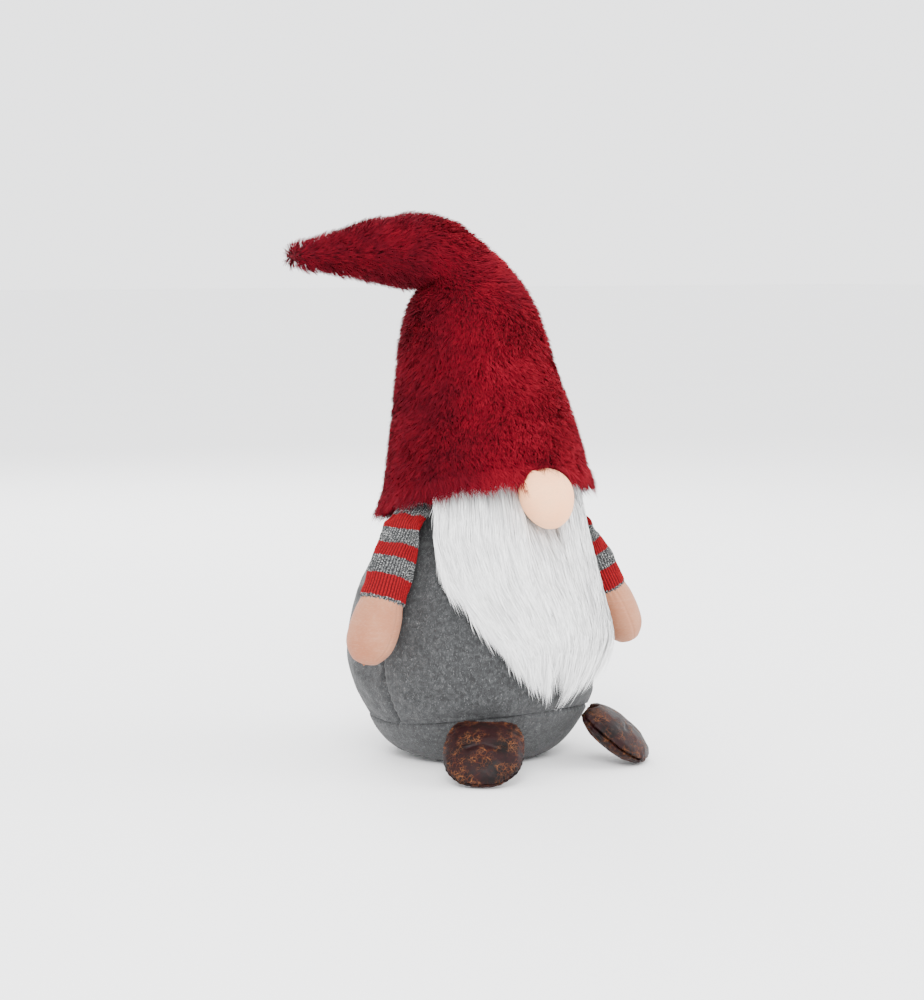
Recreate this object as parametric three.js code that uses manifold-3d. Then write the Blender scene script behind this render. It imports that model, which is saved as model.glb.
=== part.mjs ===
// A soft gnome figurine, in millimetres. It stands on z = 0, +Z is up and it faces -Y,
// so its own right hand is on the -X side. Every piece is one closed solid.
import * as THREE from "three";
import { mergeVertices } from "three/addons/utils/BufferGeometryUtils.js";
import Module from "manifold-3d";

const wasm = await Module();
wasm.setup();

// ---------- driving dimensions ----------
const GAP = 0.3; // clearance between pieces that touch
const FAR = 1200; // side of the blocks that cut pieces apart
const degrees = THREE.MathUtils.degToRad;

// Body: half outline as [radius, height], from the base seam up to the closed top under the hat.
const BODY_OUTLINE = [
  [88, 33],
  [95, 47],
  [99.5, 64],
  [101, 84],
  [98.5, 106],
  [92, 130],
  [84, 155],
  [76, 180],
  [70, 205],
  [66, 226],
];
const BASE_OUTLINE = [
  [46, 0],
  [60, 2.5],
  [71, 9],
  [80, 18],
  [86, 27],
  [87.9, 32.7],
];
const FLAT_RADIUS = 46; // the part of the base that meets the ground
const SEAM_HEIGHT = 33;
const SEAM_RADIUS = 88;
const FRONT_LIFT = 12; // how far the base seam rises at the front
const LIFT_ENDS = 130; // height above which nothing is lifted
const BACK_BULGE = 8; // how far the belly shifts backwards
const BULGE_FULL = [80, 110]; // the heights between which it shifts all the way
const BULGE_ENDS = 200;
const SIDE_SEAM = -17; // y of the side seams between the front and back panels
const FELT = 2;
const BODY_TURNS = 24; // facets round the body

// Pellet pouch, inside the base.
const POUCH_RADIUS = 52;
const POUCH_HEIGHT = 30;
const POUCH_CLOTH = 0.8;
const POUCH_SLIT = [14, 4, 6]; // filling slit in the top of the pouch
const POUCH_TURNS = 18;
const POUCH_MARGIN = 1; // the filling meets the base panel this far outside the pouch
const RIM_STEPS = 4;

// Hat: the lower part follows a spine in the plane through the Z axis and TIP_DIRECTION.
const TIP_DIRECTION = new THREE.Vector3(-0.94, 0.341, 0).normalize();
const PLUSH = 8; // backing and laid pile together
const RUN_PAST = 2; // a room inside a tube runs this far past its open ends
const HAT_SPINE = [
  [-3, 203],
  [-2, 251],
  [-1, 290],
  [4, 325],
  [7, 356],
  [9, 380],
];
const HAT_RADII = [87, 84, 80, 78.5, 75.5, 72, 68, 64, 60, 56, 51.5, 46, 39.5];
const BRIM_TILT = 0.258; // rise of the brim towards the front, per millimetre
const BRIM_TILT_REACH = 120; // the tilt fades out this far up the spine
const BRIM_FORWARD = 6;
const HAT_MESH = { segments: 20, rows: 8 };
const TIP_MESH = { segments: 14, rows: 7 };
const ELBOW = [23, 388]; // where the tip turns, along TIP_DIRECTION and up
const ELBOW_LEAN = degrees(35.2); // lean of the line halfway between the two arms of the hat
const BALL = 27; // rounded top of the hat filling, which the tip turns on
const BALL_GAP = 1.3; // running clearance between the ball and the hood of the tip
const NECK_RADIUS = 18; // the filling that joins the ball to the rest
const NECK_LENGTH = 42;
const TIP_SPINE = [
  [23, 388],
  [38, 398],
  [54, 401.5],
  [80, 401],
  [108, 400],
  [132, 398.5],
  [153, 395.5],
];
const TIP_RADII = [31, 30.5, 29.5, 28, 26.5, 25, 22, 18.5, 14.5, 10];
const TIP_FACE = -4; // the hood of the tip ends this far behind the elbow
const LOWER_FACE = -9; // and the lower plush ends this far behind it
const WIRE_RADIUS = 1.3;
const WIRE_CHANNEL_RADIUS = 2.8; // the way through the filling that the wire lies in
const WIRE_CHANNEL_RUN = 12; // the channel is longer than the wire by this at each end

// Nose
const NOSE_CENTRE = [0, -91, 212];
const NOSE_HALF = [22.5, 22, 25];
const NOSE_BACK = -74; // flat back of the nose
const NOSE_MOUTH_DEPTH = 3; // half depth of the opening in the back of its cover
const JERSEY = 1;

// Beard: half outline as seen from the front, [x, z].
const BEARD_OUTLINE = [
  [0, 226],
  [62, 225],
  [72, 195],
  [70, 160],
  [62, 130],
  [46, 100],
  [32, 75],
  [14, 54],
  [0, 50],
];
const BEARD_BACKING = 1.5;
const BEARD_PILE = 10;
const BEARD_REACH = 300; // the outline cuts the cloth from the middle of the body out to here

// Arms
const SHOULDER_RADIUS = { right: 87, left: 89 };
const SHOULDER_HEIGHT = { right: 188, left: 181 };
const ARM_FORWARD = degrees(13); // how far the arm hangs in front of the side seam
const ARM_SPREAD = { right: degrees(23.5), left: degrees(25) };
const ARM_OUTLINE = [
  [0, -12],
  [10, -11],
  [16, -6],
  [17.6, 2],
  [18, 15],
  [18.2, 33],
  [18.6, 61],
];
const HAND_OUTLINE = [
  [18.5, 61.4],
  [20.2, 71],
  [21, 83],
  [19.2, 96],
  [13, 105],
  [6, 109],
  [0, 110],
];
const SHOULDER_THINNESS = 0.5; // thickness over width at the shoulder
const ARM_THICKNESS = 0.84; // and from the end of the taper down
const ARM_TAPER = 35;
const ARM_TURNS = 12;
const KNIT = 1.4;

// Shoes
const SHOE_PLACE = degrees(31); // where round the seam a shoe is sewn, from straight ahead
const SHOE_TURN_OUT = degrees(42);
const SHOE_SLOPE = degrees(38);
const SHOE_ROOT_RADIUS = 93;
const SHOE_ROOT_HEIGHT = 41.5;
const SHOE_LENGTH = 62;
const SHOE_HALF_WIDTH = 31;
const SHOE_HALF_THICKNESS = 13;
const ROOT_SQUARENESS = 0.32; // 0 is round, 0.5 is square
const TOE_SQUARENESS = 0.1;
const LEATHER = 1.2;

// ---------- materials ----------
const finish = (color, roughness, metalness = 0) =>
  new THREE.MeshStandardMaterial({ color, roughness, metalness });
const felt = finish(0x7d8082, 0.95);
const plush = finish(0x8c1226, 0.9);
const knit = finish(0xb4242b, 0.9);
const jersey = finish(0xefcdb6, 0.85);
const fur = finish(0xeeeef0, 0.9);
const backingCloth = finish(0xd8d6d0, 0.95);
const leather = finish(0x4a2a22, 0.45);
const filling = finish(0xf6f4ee, 1);
const pouchCloth = finish(0xcfc7b4, 0.95);
const pelletPlastic = finish(0xb9bcc0, 0.5);
const steel = finish(0x9a9da0, 0.35, 1);

// ---------- solids ----------
// The manifold solid of a closed three.js geometry.
function solidOf(geometry) {
  const bare = geometry.index ? geometry.toNonIndexed() : geometry.clone();
  bare.deleteAttribute("normal");
  bare.deleteAttribute("uv");
  const merged = mergeVertices(bare, 1e-3);
  return new wasm.Manifold(
    new wasm.Mesh({
      numProp: 3,
      vertProperties: merged.attributes.position.array,
      triVerts: new Uint32Array(merged.index.array),
    }),
  );
}

// The named mesh of a solid.
function piece(name, solid, material) {
  const made = solid.getMesh();
  const geometry = new THREE.BufferGeometry();
  geometry.setAttribute("position", new THREE.BufferAttribute(made.vertProperties, 3));
  geometry.setIndex(new THREE.BufferAttribute(made.triVerts, 1));
  geometry.computeVertexNormals();
  const mesh = new THREE.Mesh(geometry, material);
  mesh.name = name;
  return mesh;
}

// A lathe about +Z from [radius, height] points, which start and end on the axis or close.
function lathe(points, segments) {
  const profile = points.map(([r, h]) => new THREE.Vector2(r, h));
  return new THREE.LatheGeometry(profile, segments).rotateX(Math.PI / 2);
}

// Moves every vertex of a geometry by a function of its place.
function reshape(geometry, move) {
  const place = geometry.attributes.position;
  const point = new THREE.Vector3();
  for (let i = 0; i < place.count; i++) {
    point.fromBufferAttribute(place, i);
    move(point);
    place.setXYZ(i, point.x, point.y, point.z);
  }
  return geometry;
}

// A smooth run of [radius, height] points through the given ones.
function smooth(points, count) {
  const curve = new THREE.SplineCurve(points.map(([a, b]) => new THREE.Vector2(a, b)));
  return curve.getPoints(count).map((p) => [p.x, p.y]);
}

// The same outline moved sideways by a distance: outwards is to the right of its direction.
function offset(points, distance) {
  return points.map(([r, h], i) => {
    const [r0, h0] = points[Math.max(i - 1, 0)];
    const [r1, h1] = points[Math.min(i + 1, points.length - 1)];
    const length = Math.hypot(r1 - r0, h1 - h0);
    return [
      Math.max(r + ((h1 - h0) / length) * distance, 0),
      h - ((r1 - r0) / length) * distance,
    ];
  });
}

// A half space as a large block: everything on the far side of a plane through a point.
function halfSpace(normal, point) {
  const turn = new THREE.Quaternion().setFromUnitVectors(
    new THREE.Vector3(0, 0, 1),
    normal.clone().normalize(),
  );
  const block = new THREE.BoxGeometry(FAR, FAR, FAR).translate(0, 0, FAR / 2);
  return solidOf(block.applyQuaternion(turn).translate(point.x, point.y, point.z));
}

// The two parts of a solid behind and in front of a plane at a distance along its normal.
function halves(solid, normal, distance = 0) {
  const part = (side) => {
    const point = normal.clone().multiplyScalar(distance + (side * GAP) / 2);
    return solid.intersect(halfSpace(normal.clone().multiplyScalar(side), point));
  };
  return [part(-1), part(1)];
}

function ellipsoid(centre, half, across = 14, down = 10) {
  const ball = new THREE.SphereGeometry(1, across, down).rotateX(Math.PI / 2);
  return solidOf(ball.scale(...half).translate(...centre));
}

const step = THREE.MathUtils.smoothstep;

// ---------- body ----------
// The lean of the real figure: its belly sits back and its base seam rises at the front.
function settle(point) {
  const radius = Math.hypot(point.x, point.y);
  const front = radius > 0 ? Math.max(0, -point.y / radius) ** 1.5 : 0;
  const outward = step(radius, FLAT_RADIUS, SEAM_RADIUS);
  const lift = FRONT_LIFT * front * outward * (1 - step(point.z, SEAM_HEIGHT, LIFT_ENDS));
  const [fullFrom, fullTo] = BULGE_FULL;
  const bulge = step(point.z, SEAM_HEIGHT, fullFrom) * (1 - step(point.z, fullTo, BULGE_ENDS));
  point.y += BACK_BULGE * bulge;
  point.z += lift;
}

const bodyLine = smooth(BODY_OUTLINE, 9);
const baseLine = smooth(BASE_OUTLINE, 4);
const BODY_TOP = BODY_OUTLINE.at(-1)[1];

// A band of cloth over the body, between two distances from the felt's outer face.
function bodyBand(near, far) {
  const outer = offset(bodyLine, far);
  const inner = offset(bodyLine, near).reverse();
  return solidOf(reshape(lathe([...outer, ...inner, outer[0]], BODY_TURNS), settle));
}

// The whole body as one solid, its outer face moved out by a distance.
function bodySolid(distance) {
  const wall = offset(bodyLine, distance);
  const line = [[0, wall[0][1]], ...wall, [0, wall.at(-1)[1]]];
  return solidOf(reshape(lathe(line, BODY_TURNS), settle));
}

function bodyPanels() {
  const [front, back] = halves(bodyBand(-FELT, 0), new THREE.Vector3(0, 1, 0), SIDE_SEAM);
  return [piece("body_front_panel", front, felt), piece("body_back_panel", back, felt)];
}

function basePanel() {
  const inner = offset(baseLine, -FELT).reverse();
  const line = [[0, 0], ...baseLine, ...inner, [0, FELT]];
  return piece("base_panel", solidOf(reshape(lathe(line, BODY_TURNS), settle)), felt);
}

// Outline of the pouch, drawn in from its outside by an inset.
function pouchOutline(inset) {
  const floor = FELT + GAP + inset;
  const top = FELT + GAP + POUCH_HEIGHT - inset;
  const middle = (floor + top) / 2;
  const half = (top - floor) / 2;
  const flat = POUCH_RADIUS - POUCH_HEIGHT / 2;
  const rim = [];
  for (let i = 0; i <= RIM_STEPS; i++) {
    const angle = -Math.PI / 2 + (Math.PI * i) / RIM_STEPS;
    rim.push([flat + half * Math.cos(angle), middle + half * Math.sin(angle)]);
  }
  return [[0, floor], ...rim, [0, top]];
}

function pelletPouch() {
  const fat = (inset) => solidOf(lathe(pouchOutline(inset), POUCH_TURNS));
  const slit = new THREE.BoxGeometry(...POUCH_SLIT).translate(0, 0, FELT + POUCH_HEIGHT);
  const cloth = fat(0).subtract(fat(POUCH_CLOTH)).subtract(solidOf(slit));
  return [
    piece("pellet_pouch", cloth, pouchCloth),
    piece("pellet_filling", fat(POUCH_CLOTH + GAP), pelletPlastic),
  ];
}

function bodyFilling() {
  const wall = offset(bodyLine, -FELT - 2 * GAP);
  const floor = offset(baseLine, -FELT - 2 * GAP);
  const room = POUCH_RADIUS + 4 * GAP;
  const roof = FELT + POUCH_HEIGHT + 3 * GAP;
  const under = floor.filter(([r]) => r > room + POUCH_MARGIN);
  const line = [[0, roof], [room, roof], [room, under[0][1]], ...under, ...wall.slice(1)];
  line.push([0, wall.at(-1)[1]]);
  return piece("body_filling", solidOf(reshape(lathe(line, BODY_TURNS), settle)), filling);
}

// ---------- hat ----------
const UP = new THREE.Vector3(0, 0, 1);
const ACROSS = new THREE.Vector3().crossVectors(UP, TIP_DIRECTION);
const alongTip = ([u, z]) => TIP_DIRECTION.clone().multiplyScalar(u).setZ(z);
const elbow = alongTip(ELBOW);

// A round tube of changing radius along a spine in the hat's plane, closed at both ends.
// It can run straight on past both ends of the spine, so that it cuts clean through a shell.
function alongSpine(spinePoints, radii, { inset, segments, rows, past = 0 }) {
  const spine = new THREE.CatmullRomCurve3(spinePoints.map(alongTip));
  const length = spine.getLength();
  const curve = new THREE.SplineCurve(radii.map((r, i) => new THREE.Vector2(r, i)));
  const line = [[0, -past]];
  for (let i = 0; i <= rows; i++) {
    const share = i / rows;
    line.push([curve.getPoint(share).x - inset, share * (length + 2 * past) - past]);
  }
  line.push([0, length + past]);
  return reshape(lathe(line, segments), (point) => {
    const share = THREE.MathUtils.clamp(point.z / length, 0, 1);
    const forward = spine.getTangentAt(share);
    const side = new THREE.Vector3().crossVectors(ACROSS, forward);
    const place = spine.getPointAt(share);
    place.addScaledVector(forward, point.z - share * length);
    place.addScaledVector(side, point.x).addScaledVector(ACROSS, point.y);
    point.copy(place);
  });
}

// The brim dips at the back and sits a little forward.
function tiltBrim(point) {
  const fade = 1 - step(point.z, HAT_SPINE[0][1], HAT_SPINE[0][1] + BRIM_TILT_REACH);
  point.z -= BRIM_TILT * point.y * fade;
  point.y -= BRIM_FORWARD * fade;
}

const lowerHat = (inset, past = 0) => {
  const shape = { inset, past, ...HAT_MESH };
  return solidOf(reshape(alongSpine(HAT_SPINE, HAT_RADII, shape), tiltBrim));
};
const tipTube = (inset) => solidOf(alongSpine(TIP_SPINE, TIP_RADII, { inset, ...TIP_MESH }));
const tipBall = (radius) => ellipsoid(elbow.toArray(), [radius, radius, radius]);

// The plane across the elbow, halfway between the two arms of the hat.
const elbowNormal = TIP_DIRECTION.clone()
  .multiplyScalar(Math.sin(ELBOW_LEAN))
  .addScaledVector(UP, Math.cos(ELBOW_LEAN));
const beyondElbow = (distance) =>
  halfSpace(elbowNormal, elbow.clone().addScaledVector(elbowNormal, distance));
const tipEnd = alongTip(TIP_SPINE.at(-1));
const tipCap = (inset) => {
  const radius = TIP_RADII.at(-1) - inset;
  return ellipsoid(tipEnd.toArray(), [radius, radius, radius], 10, 6);
};

function ballNeck() {
  const stem = new THREE.CylinderGeometry(NECK_RADIUS, NECK_RADIUS, NECK_LENGTH, 20);
  stem.translate(0, -NECK_LENGTH / 2, 0);
  const along = new THREE.Vector3(0, 1, 0);
  stem.applyQuaternion(new THREE.Quaternion().setFromUnitVectors(along, elbowNormal));
  return solidOf(stem.translate(elbow.x, elbow.y, elbow.z));
}

function noseSolid(inset) {
  const [hx, hy, hz] = NOSE_HALF;
  const egg = ellipsoid(NOSE_CENTRE, [hx - inset, hy - inset, hz - inset]);
  const back = new THREE.Vector3(0, NOSE_BACK, 0);
  return egg.intersect(halfSpace(new THREE.Vector3(0, -1, 0), back));
}

// The coated steel wire: one leg up the hat and one out along the tip, meeting at the elbow.
const WIRE_UP = [
  [-2, 250],
  [0, 305],
  [8, 350],
  [18, 380],
  [34, 401],
];
const WIRE_OUT = [
  [48, 401.5],
  [68, 401.5],
  [92, 400.5],
  [124, 399],
];
function wire(points, radius, stretch) {
  const places = points.map(alongTip);
  places[0].addScaledVector(places[0].clone().sub(places[1]).normalize(), stretch);
  const last = places.at(-1);
  last.addScaledVector(last.clone().sub(places.at(-2)).normalize(), stretch);
  const section = new THREE.Shape().absarc(0, 0, radius, 0, 2 * Math.PI);
  return solidOf(
    new THREE.ExtrudeGeometry(section, {
      steps: 10,
      curveSegments: 4,
      bevelEnabled: false,
      extrudePath: new THREE.CatmullRomCurve3(places),
    }),
  );
}

function hatLower() {
  const upTo = beyondElbow(LOWER_FACE);
  const ballRoom = tipBall(BALL + PLUSH + BALL_GAP);
  const cover = lowerHat(0)
    .subtract(lowerHat(PLUSH, RUN_PAST))
    .subtract(upTo)
    .subtract(ballRoom)
    .subtract(noseSolid(-GAP))
    .subtract(bodySolid(GAP));
  const [front, back] = halves(cover, ACROSS.clone().negate());
  const channel = wire(WIRE_UP, WIRE_CHANNEL_RADIUS, WIRE_CHANNEL_RUN);
  const aboveBody = halfSpace(UP, new THREE.Vector3(0, 0, BODY_TOP + 5 * GAP));
  const fill = lowerHat(PLUSH + GAP, RUN_PAST)
    .subtract(upTo)
    .subtract(tipBall(BALL + PLUSH + BALL_GAP + GAP))
    .add(tipBall(BALL))
    .add(ballNeck())
    .intersect(aboveBody)
    .subtract(noseSolid(-GAP))
    .subtract(channel);
  return [
    piece("hat_front_panel", front, plush),
    piece("hat_back_panel", back, plush),
    piece("hat_filling", fill, filling),
    piece("hat_wire_upright", wire(WIRE_UP, WIRE_RADIUS, 0), steel),
  ];
}

function hatTip() {
  const hood = tipBall(BALL + PLUSH).intersect(beyondElbow(TIP_FACE));
  const outer = tipTube(0).add(tipCap(0)).add(hood);
  const hollow = tipTube(PLUSH).add(tipBall(BALL + BALL_GAP));
  const [front, back] = halves(outer.subtract(hollow), ACROSS.clone().negate());
  const fill = tipTube(PLUSH + GAP)
    .subtract(tipBall(BALL + BALL_GAP + GAP))
    .subtract(wire(WIRE_OUT, WIRE_CHANNEL_RADIUS, WIRE_CHANNEL_RUN));
  return [
    piece("hat_tip_front_panel", front, plush),
    piece("hat_tip_back_panel", back, plush),
    piece("hat_tip_filling", fill, filling),
    piece("hat_wire_tip", wire(WIRE_OUT, WIRE_RADIUS, 0), steel),
  ];
}

// ---------- face ----------
function nose() {
  const mouth = new THREE.Vector3(0, NOSE_BACK - GAP, 0);
  const inside = noseSolid(JERSEY + GAP).intersect(halfSpace(new THREE.Vector3(0, -1, 0), mouth));
  return [
    piece("nose_cover", noseSolid(0).subtract(noseSolid(JERSEY).add(noseMouth())), jersey),
    piece("nose_filling", inside, filling),
  ];
}

// The open back of the nose cover, where it is sewn shut against the body.
function noseMouth() {
  const [hx, hy, hz] = NOSE_HALF;
  const reach = Math.sqrt(1 - ((NOSE_BACK - NOSE_CENTRE[1]) / hy) ** 2);
  return ellipsoid([0, NOSE_BACK, NOSE_CENTRE[2]], [
    hx * reach - 2 * JERSEY,
    NOSE_MOUTH_DEPTH,
    hz * reach - 2 * JERSEY,
  ]);
}

function beard() {
  const half = smooth(BEARD_OUTLINE.slice(1, -1), 8);
  const right = half.map(([x, z]) => new THREE.Vector2(x, z));
  const left = half.map(([x, z]) => new THREE.Vector2(-x, z)).reverse();
  const outline = new THREE.Shape([...right, ...left]);
  const prism = new THREE.ExtrudeGeometry(outline, { depth: BEARD_REACH, bevelEnabled: false });
  const front = solidOf(prism.rotateX(Math.PI / 2));
  const backing = bodyBand(GAP, GAP + BEARD_BACKING);
  const pileNear = 2 * GAP + BEARD_BACKING;
  const pile = bodyBand(pileNear, pileNear + BEARD_PILE);
  const hat = lowerHat(-GAP);
  const cut = (solid) => solid.intersect(front).subtract(noseSolid(-GAP)).subtract(hat);
  return [
    piece("beard_backing", cut(backing), backingCloth),
    piece("beard_pile", cut(pile), fur),
  ];
}

// ---------- arms ----------
// A round arm is flattened where it is sewn on: x is across its width, y its thickness.
function flatten(point) {
  point.y *= THREE.MathUtils.lerp(SHOULDER_THINNESS, ARM_THICKNESS, step(-point.z, 0, ARM_TAPER));
}

// Half outline [radius, distance down the arm], as a lathe profile that runs upwards.
const hanging = (points) => points.map(([r, d]) => [r, -d]).reverse();

function armShell(outline, thickness, openAtTop) {
  const outer = hanging(outline);
  const inner = offset(outer, -thickness);
  // The closed end keeps the thickness on the axis, and the open end is cut level.
  if (openAtTop) {
    inner[0] = [0, outer[0][1] + thickness];
    inner[inner.length - 1][1] = outer.at(-1)[1];
    return [...outer, ...inner.reverse()];
  }
  inner[inner.length - 1] = [0, outer.at(-1)[1] - thickness];
  inner[0][1] = outer[0][1];
  return [...outer, ...inner.reverse(), outer[0]];
}

function armPieces(side) {
  const sleeveLine = smooth(ARM_OUTLINE, 5);
  const handLine = smooth(HAND_OUTLINE, 5);
  const whole = [...hanging(handLine), ...hanging(sleeveLine).slice(1)];
  const depth = KNIT + 4 * GAP;
  const inner = offset(whole, -depth);
  inner[0] = [0, whole[0][1] + depth];
  inner[inner.length - 1] = [0, whole.at(-1)[1] - depth];
  const make = (line) => solidOf(reshape(lathe(line, ARM_TURNS), flatten));
  return [
    piece(`${side}_sleeve`, make(armShell(sleeveLine, KNIT, false)), knit),
    piece(`${side}_hand`, make(armShell(handLine, JERSEY, true)), jersey),
    piece(`${side}_arm_filling`, make(inner), filling),
  ];
}

// The arm hangs from its shoulder, spread outwards; +1 is the gnome's left.
function arm(side) {
  const sign = side === "left" ? 1 : -1;
  const round = new THREE.Group();
  round.rotation.z = sign > 0 ? -ARM_FORWARD : Math.PI + ARM_FORWARD;
  const shoulder = new THREE.Group();
  shoulder.position.set(SHOULDER_RADIUS[side], 0, SHOULDER_HEIGHT[side]);
  shoulder.rotation.y = -ARM_SPREAD[side];
  const turned = new THREE.Group();
  turned.rotation.z = Math.PI / 2;
  turned.add(...armPieces(side));
  shoulder.add(turned);
  round.add(shoulder);
  return round;
}

// ---------- shoes ----------
// A stuffed D: straight where it is sewn to the body, round at the toe. Local +Y runs from the
// straight edge to the toe, +Z is up out of the upper.
function shoeSolid(inset) {
  const pad = new THREE.SphereGeometry(1, 16, 8);
  reshape(pad, (p) => {
    const ring = Math.max(1 - p.y * p.y, 0);
    const square = p.y < 0 ? ROOT_SQUARENESS : TOE_SQUARENESS;
    if (ring > 1e-6) p.x *= ring ** -square;
  });
  const length = SHOE_LENGTH / 2;
  pad.scale(SHOE_HALF_WIDTH - inset, length - inset, SHOE_HALF_THICKNESS - inset);
  return solidOf(pad.translate(0, length, 0));
}

function shoePieces(side) {
  const shell = shoeSolid(0).subtract(shoeSolid(LEATHER));
  const above = new THREE.Vector3(0, 0, GAP / 2);
  const upper = shell.intersect(halfSpace(UP, above));
  const sole = shell.intersect(halfSpace(UP.clone().negate(), above.clone().negate()));
  return [
    piece(`${side}_shoe_upper`, upper, leather),
    piece(`${side}_shoe_sole`, sole, leather),
    piece(`${side}_shoe_filling`, shoeSolid(LEATHER + GAP), filling),
  ];
}

function shoe(side) {
  const sign = side === "left" ? 1 : -1;
  const root = new THREE.Group();
  root.position.set(
    sign * SHOE_ROOT_RADIUS * Math.sin(SHOE_PLACE),
    -SHOE_ROOT_RADIUS * Math.cos(SHOE_PLACE),
    SHOE_ROOT_HEIGHT,
  );
  root.rotation.z = Math.PI + sign * SHOE_TURN_OUT;
  const slope = new THREE.Group();
  slope.rotation.x = -SHOE_SLOPE;
  slope.add(...shoePieces(side));
  root.add(slope);
  return root;
}

// ---------- the gnome ----------
const gnome = new THREE.Group();
gnome.add(...bodyPanels(), basePanel(), ...pelletPouch(), bodyFilling());
gnome.add(...hatLower(), ...hatTip(), ...nose(), ...beard());
for (const side of ["right", "left"]) gnome.add(arm(side), shoe(side));
export default gnome;
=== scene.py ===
"""The looks of a soft gnome figurine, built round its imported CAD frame.

Shapes are worked out in millimetres and turned into metres when a mesh is made. The gnome
faces -Y, so its own right hand is on the -X side. A piece that is stuffed starts as a coarse
skin, which a short cloth simulation inflates between its seams. The skin is then resampled
finely, and seams, ribs and wrinkles are added. Plush and beard are real strands of fibre.
"""
import math

import bpy
import numpy as np
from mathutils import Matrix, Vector


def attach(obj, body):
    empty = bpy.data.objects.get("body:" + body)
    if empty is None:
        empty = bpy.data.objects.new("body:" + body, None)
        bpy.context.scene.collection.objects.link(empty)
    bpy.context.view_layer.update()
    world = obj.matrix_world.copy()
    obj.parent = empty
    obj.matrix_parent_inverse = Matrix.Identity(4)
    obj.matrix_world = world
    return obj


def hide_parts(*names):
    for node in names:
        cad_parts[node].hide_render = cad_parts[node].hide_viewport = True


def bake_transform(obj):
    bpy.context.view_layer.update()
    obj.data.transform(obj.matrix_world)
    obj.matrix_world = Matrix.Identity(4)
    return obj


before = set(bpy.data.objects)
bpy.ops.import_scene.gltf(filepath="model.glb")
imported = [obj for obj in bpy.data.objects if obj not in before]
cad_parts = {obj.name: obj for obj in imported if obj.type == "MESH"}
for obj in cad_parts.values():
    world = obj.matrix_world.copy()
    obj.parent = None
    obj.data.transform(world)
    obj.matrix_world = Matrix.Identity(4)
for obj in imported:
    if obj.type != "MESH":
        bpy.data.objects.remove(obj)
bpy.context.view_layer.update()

MM = 0.001
TAU = 2 * math.pi

# ---------- driving sizes, in millimetres ----------
# FELT, HAT_CLOTH, JERSEY, BEARD_BACKING, KNIT and LEATHER are thicknesses of cloth.
# Body: half outline as [radius, height], the base first and then the two upper panels.
BASE_OUTLINE = [[46, 0], [60, 2.5], [71, 9], [80, 18], [86, 27], [87.9, 32.7]]
BODY_OUTLINE = [
    [88, 33], [95, 47], [99.5, 64], [101, 84], [98.5, 106],
    [92, 130], [84, 155], [76, 180], [70, 205], [66, 226],
]
SEAM_HEIGHT = 33
SEAM_RADIUS = 88
FLAT_RADIUS = 46
FRONT_LIFT = 12
LIFT_ENDS = 130
BACK_BULGE = 8
SIDE_SEAM = math.radians(80)  # where the side seams run, from straight ahead
FELT = 2.0
BODY_DRAWN_IN = 2.5  # the felt starts this much inside its final shape, and swells
SEAM_DRAWN_IN = 0.6  # and its base seam this much, which is held
BODY_COLUMNS = 72  # 5 degrees each, so that columns lie on the side seams
BASE_RINGS = [14, 30, 46]
BODY_LENGTH = 290  # roughly, along the outline from the base's first ring to the top
BODY_MIDDLE_RADIUS = 95
BULGE_FULL = 80  # the back bulge is full from this height
BULGE_FADES = (110, 200)  # and fades between these
BASE_SEAM_ROUND = 600  # roughly, the distance round the base seam
BODY_SEAM_PUCKER = 6.5  # distance from one pucker to the next
NO_SEAM = 99  # a distance at which a seam no longer shows
DRAWN_IN_UNDER_HAT = 0.09  # share of the body's radius, behind the hat's brim

# Hat: each section is [u, z] of its side towards the tip, [u, z] of its other side and half its
# width across, where u runs towards the tip from the axis.
TIP_DIRECTION = np.array([-0.94, 0.341, 0.0])
ACROSS = np.array([-0.341, -0.94, 0.0])
UP = np.array([0.0, 0.0, 1.0])
HAT_SECTIONS = [
    [84, 203, -88, 203, 86],
    [80, 218, -84, 218, 82],
    [77, 235, -81, 235, 79],
    [73, 256, -76, 256, 75],
    [69, 280, -70, 280, 70],
    [66, 305, -62.5, 305, 64],
    [62.5, 334, -53.5, 336, 57.5],
    [57.5, 353, -44, 359, 51],
    [49.5, 366, -32, 377, 45],
    [45.5, 371.5, -18, 393, 40],
    [45, 373.5, -2, 408, 36],
    [46, 373.5, 15, 421.5, 33],
    [50, 371.5, 38, 430, 31],
    [60, 370.5, 56, 431, 29.5],
    [72, 373, 70, 428, 27],
    [90, 376.5, 88, 426, 24.5],
    [107, 380, 105, 420, 20],
    [126, 383, 124, 414.5, 15.6],
    [141, 384.5, 139.5, 411, 13.2],
    [150, 386.5, 149, 408, 10.6],
    [154, 391, 153, 402.5, 5.5],
]
BRIM_TILT = 0.258
BRIM_HEIGHT = 203
BRIM_TILT_REACH = 120
BRIM_FORWARD = 6
HAT_EDGE = 0.028  # share of the hat's length where the backing starts
BRIM_PILE = (HAT_EDGE - 0.004, HAT_EDGE + 0.035)  # shares between which an extra fringe lies
HAT_CLOTH = 1.2
HEM = [(0.05, 9), (0.02, 5), (0.0, 2)]  # rise along the hat, and how much further in
PILE = 7.5  # how far the plush stands off its backing
PILE_LEAN = 6.5  # and how far each strand leans along it
PILE_STRANDS = 39500
BRIM_STRANDS = 9000
PILE_STATIONS = np.array([0.0, 0.4, 0.75, 1.0])  # shares along a strand where its path bends
PILE_WIDTHS = np.array([0.5, 0.5, 0.34, 0.0])  # and its width there
TUFT = 3.0  # the plush gathers into tufts this far apart
TUFT_EDGE_WANDER = 2.2
TUFT_PULL = 0.55  # share of the way that a strand's end is drawn to the middle of its tuft
TUFT_TWIST = 2.2  # spread of the sideways lean of whole tufts
STRAND_STRAY = 0.5  # about how far one strand's end strays
STRAND_KINK = 0.18  # and how far each of its stations does

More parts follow.
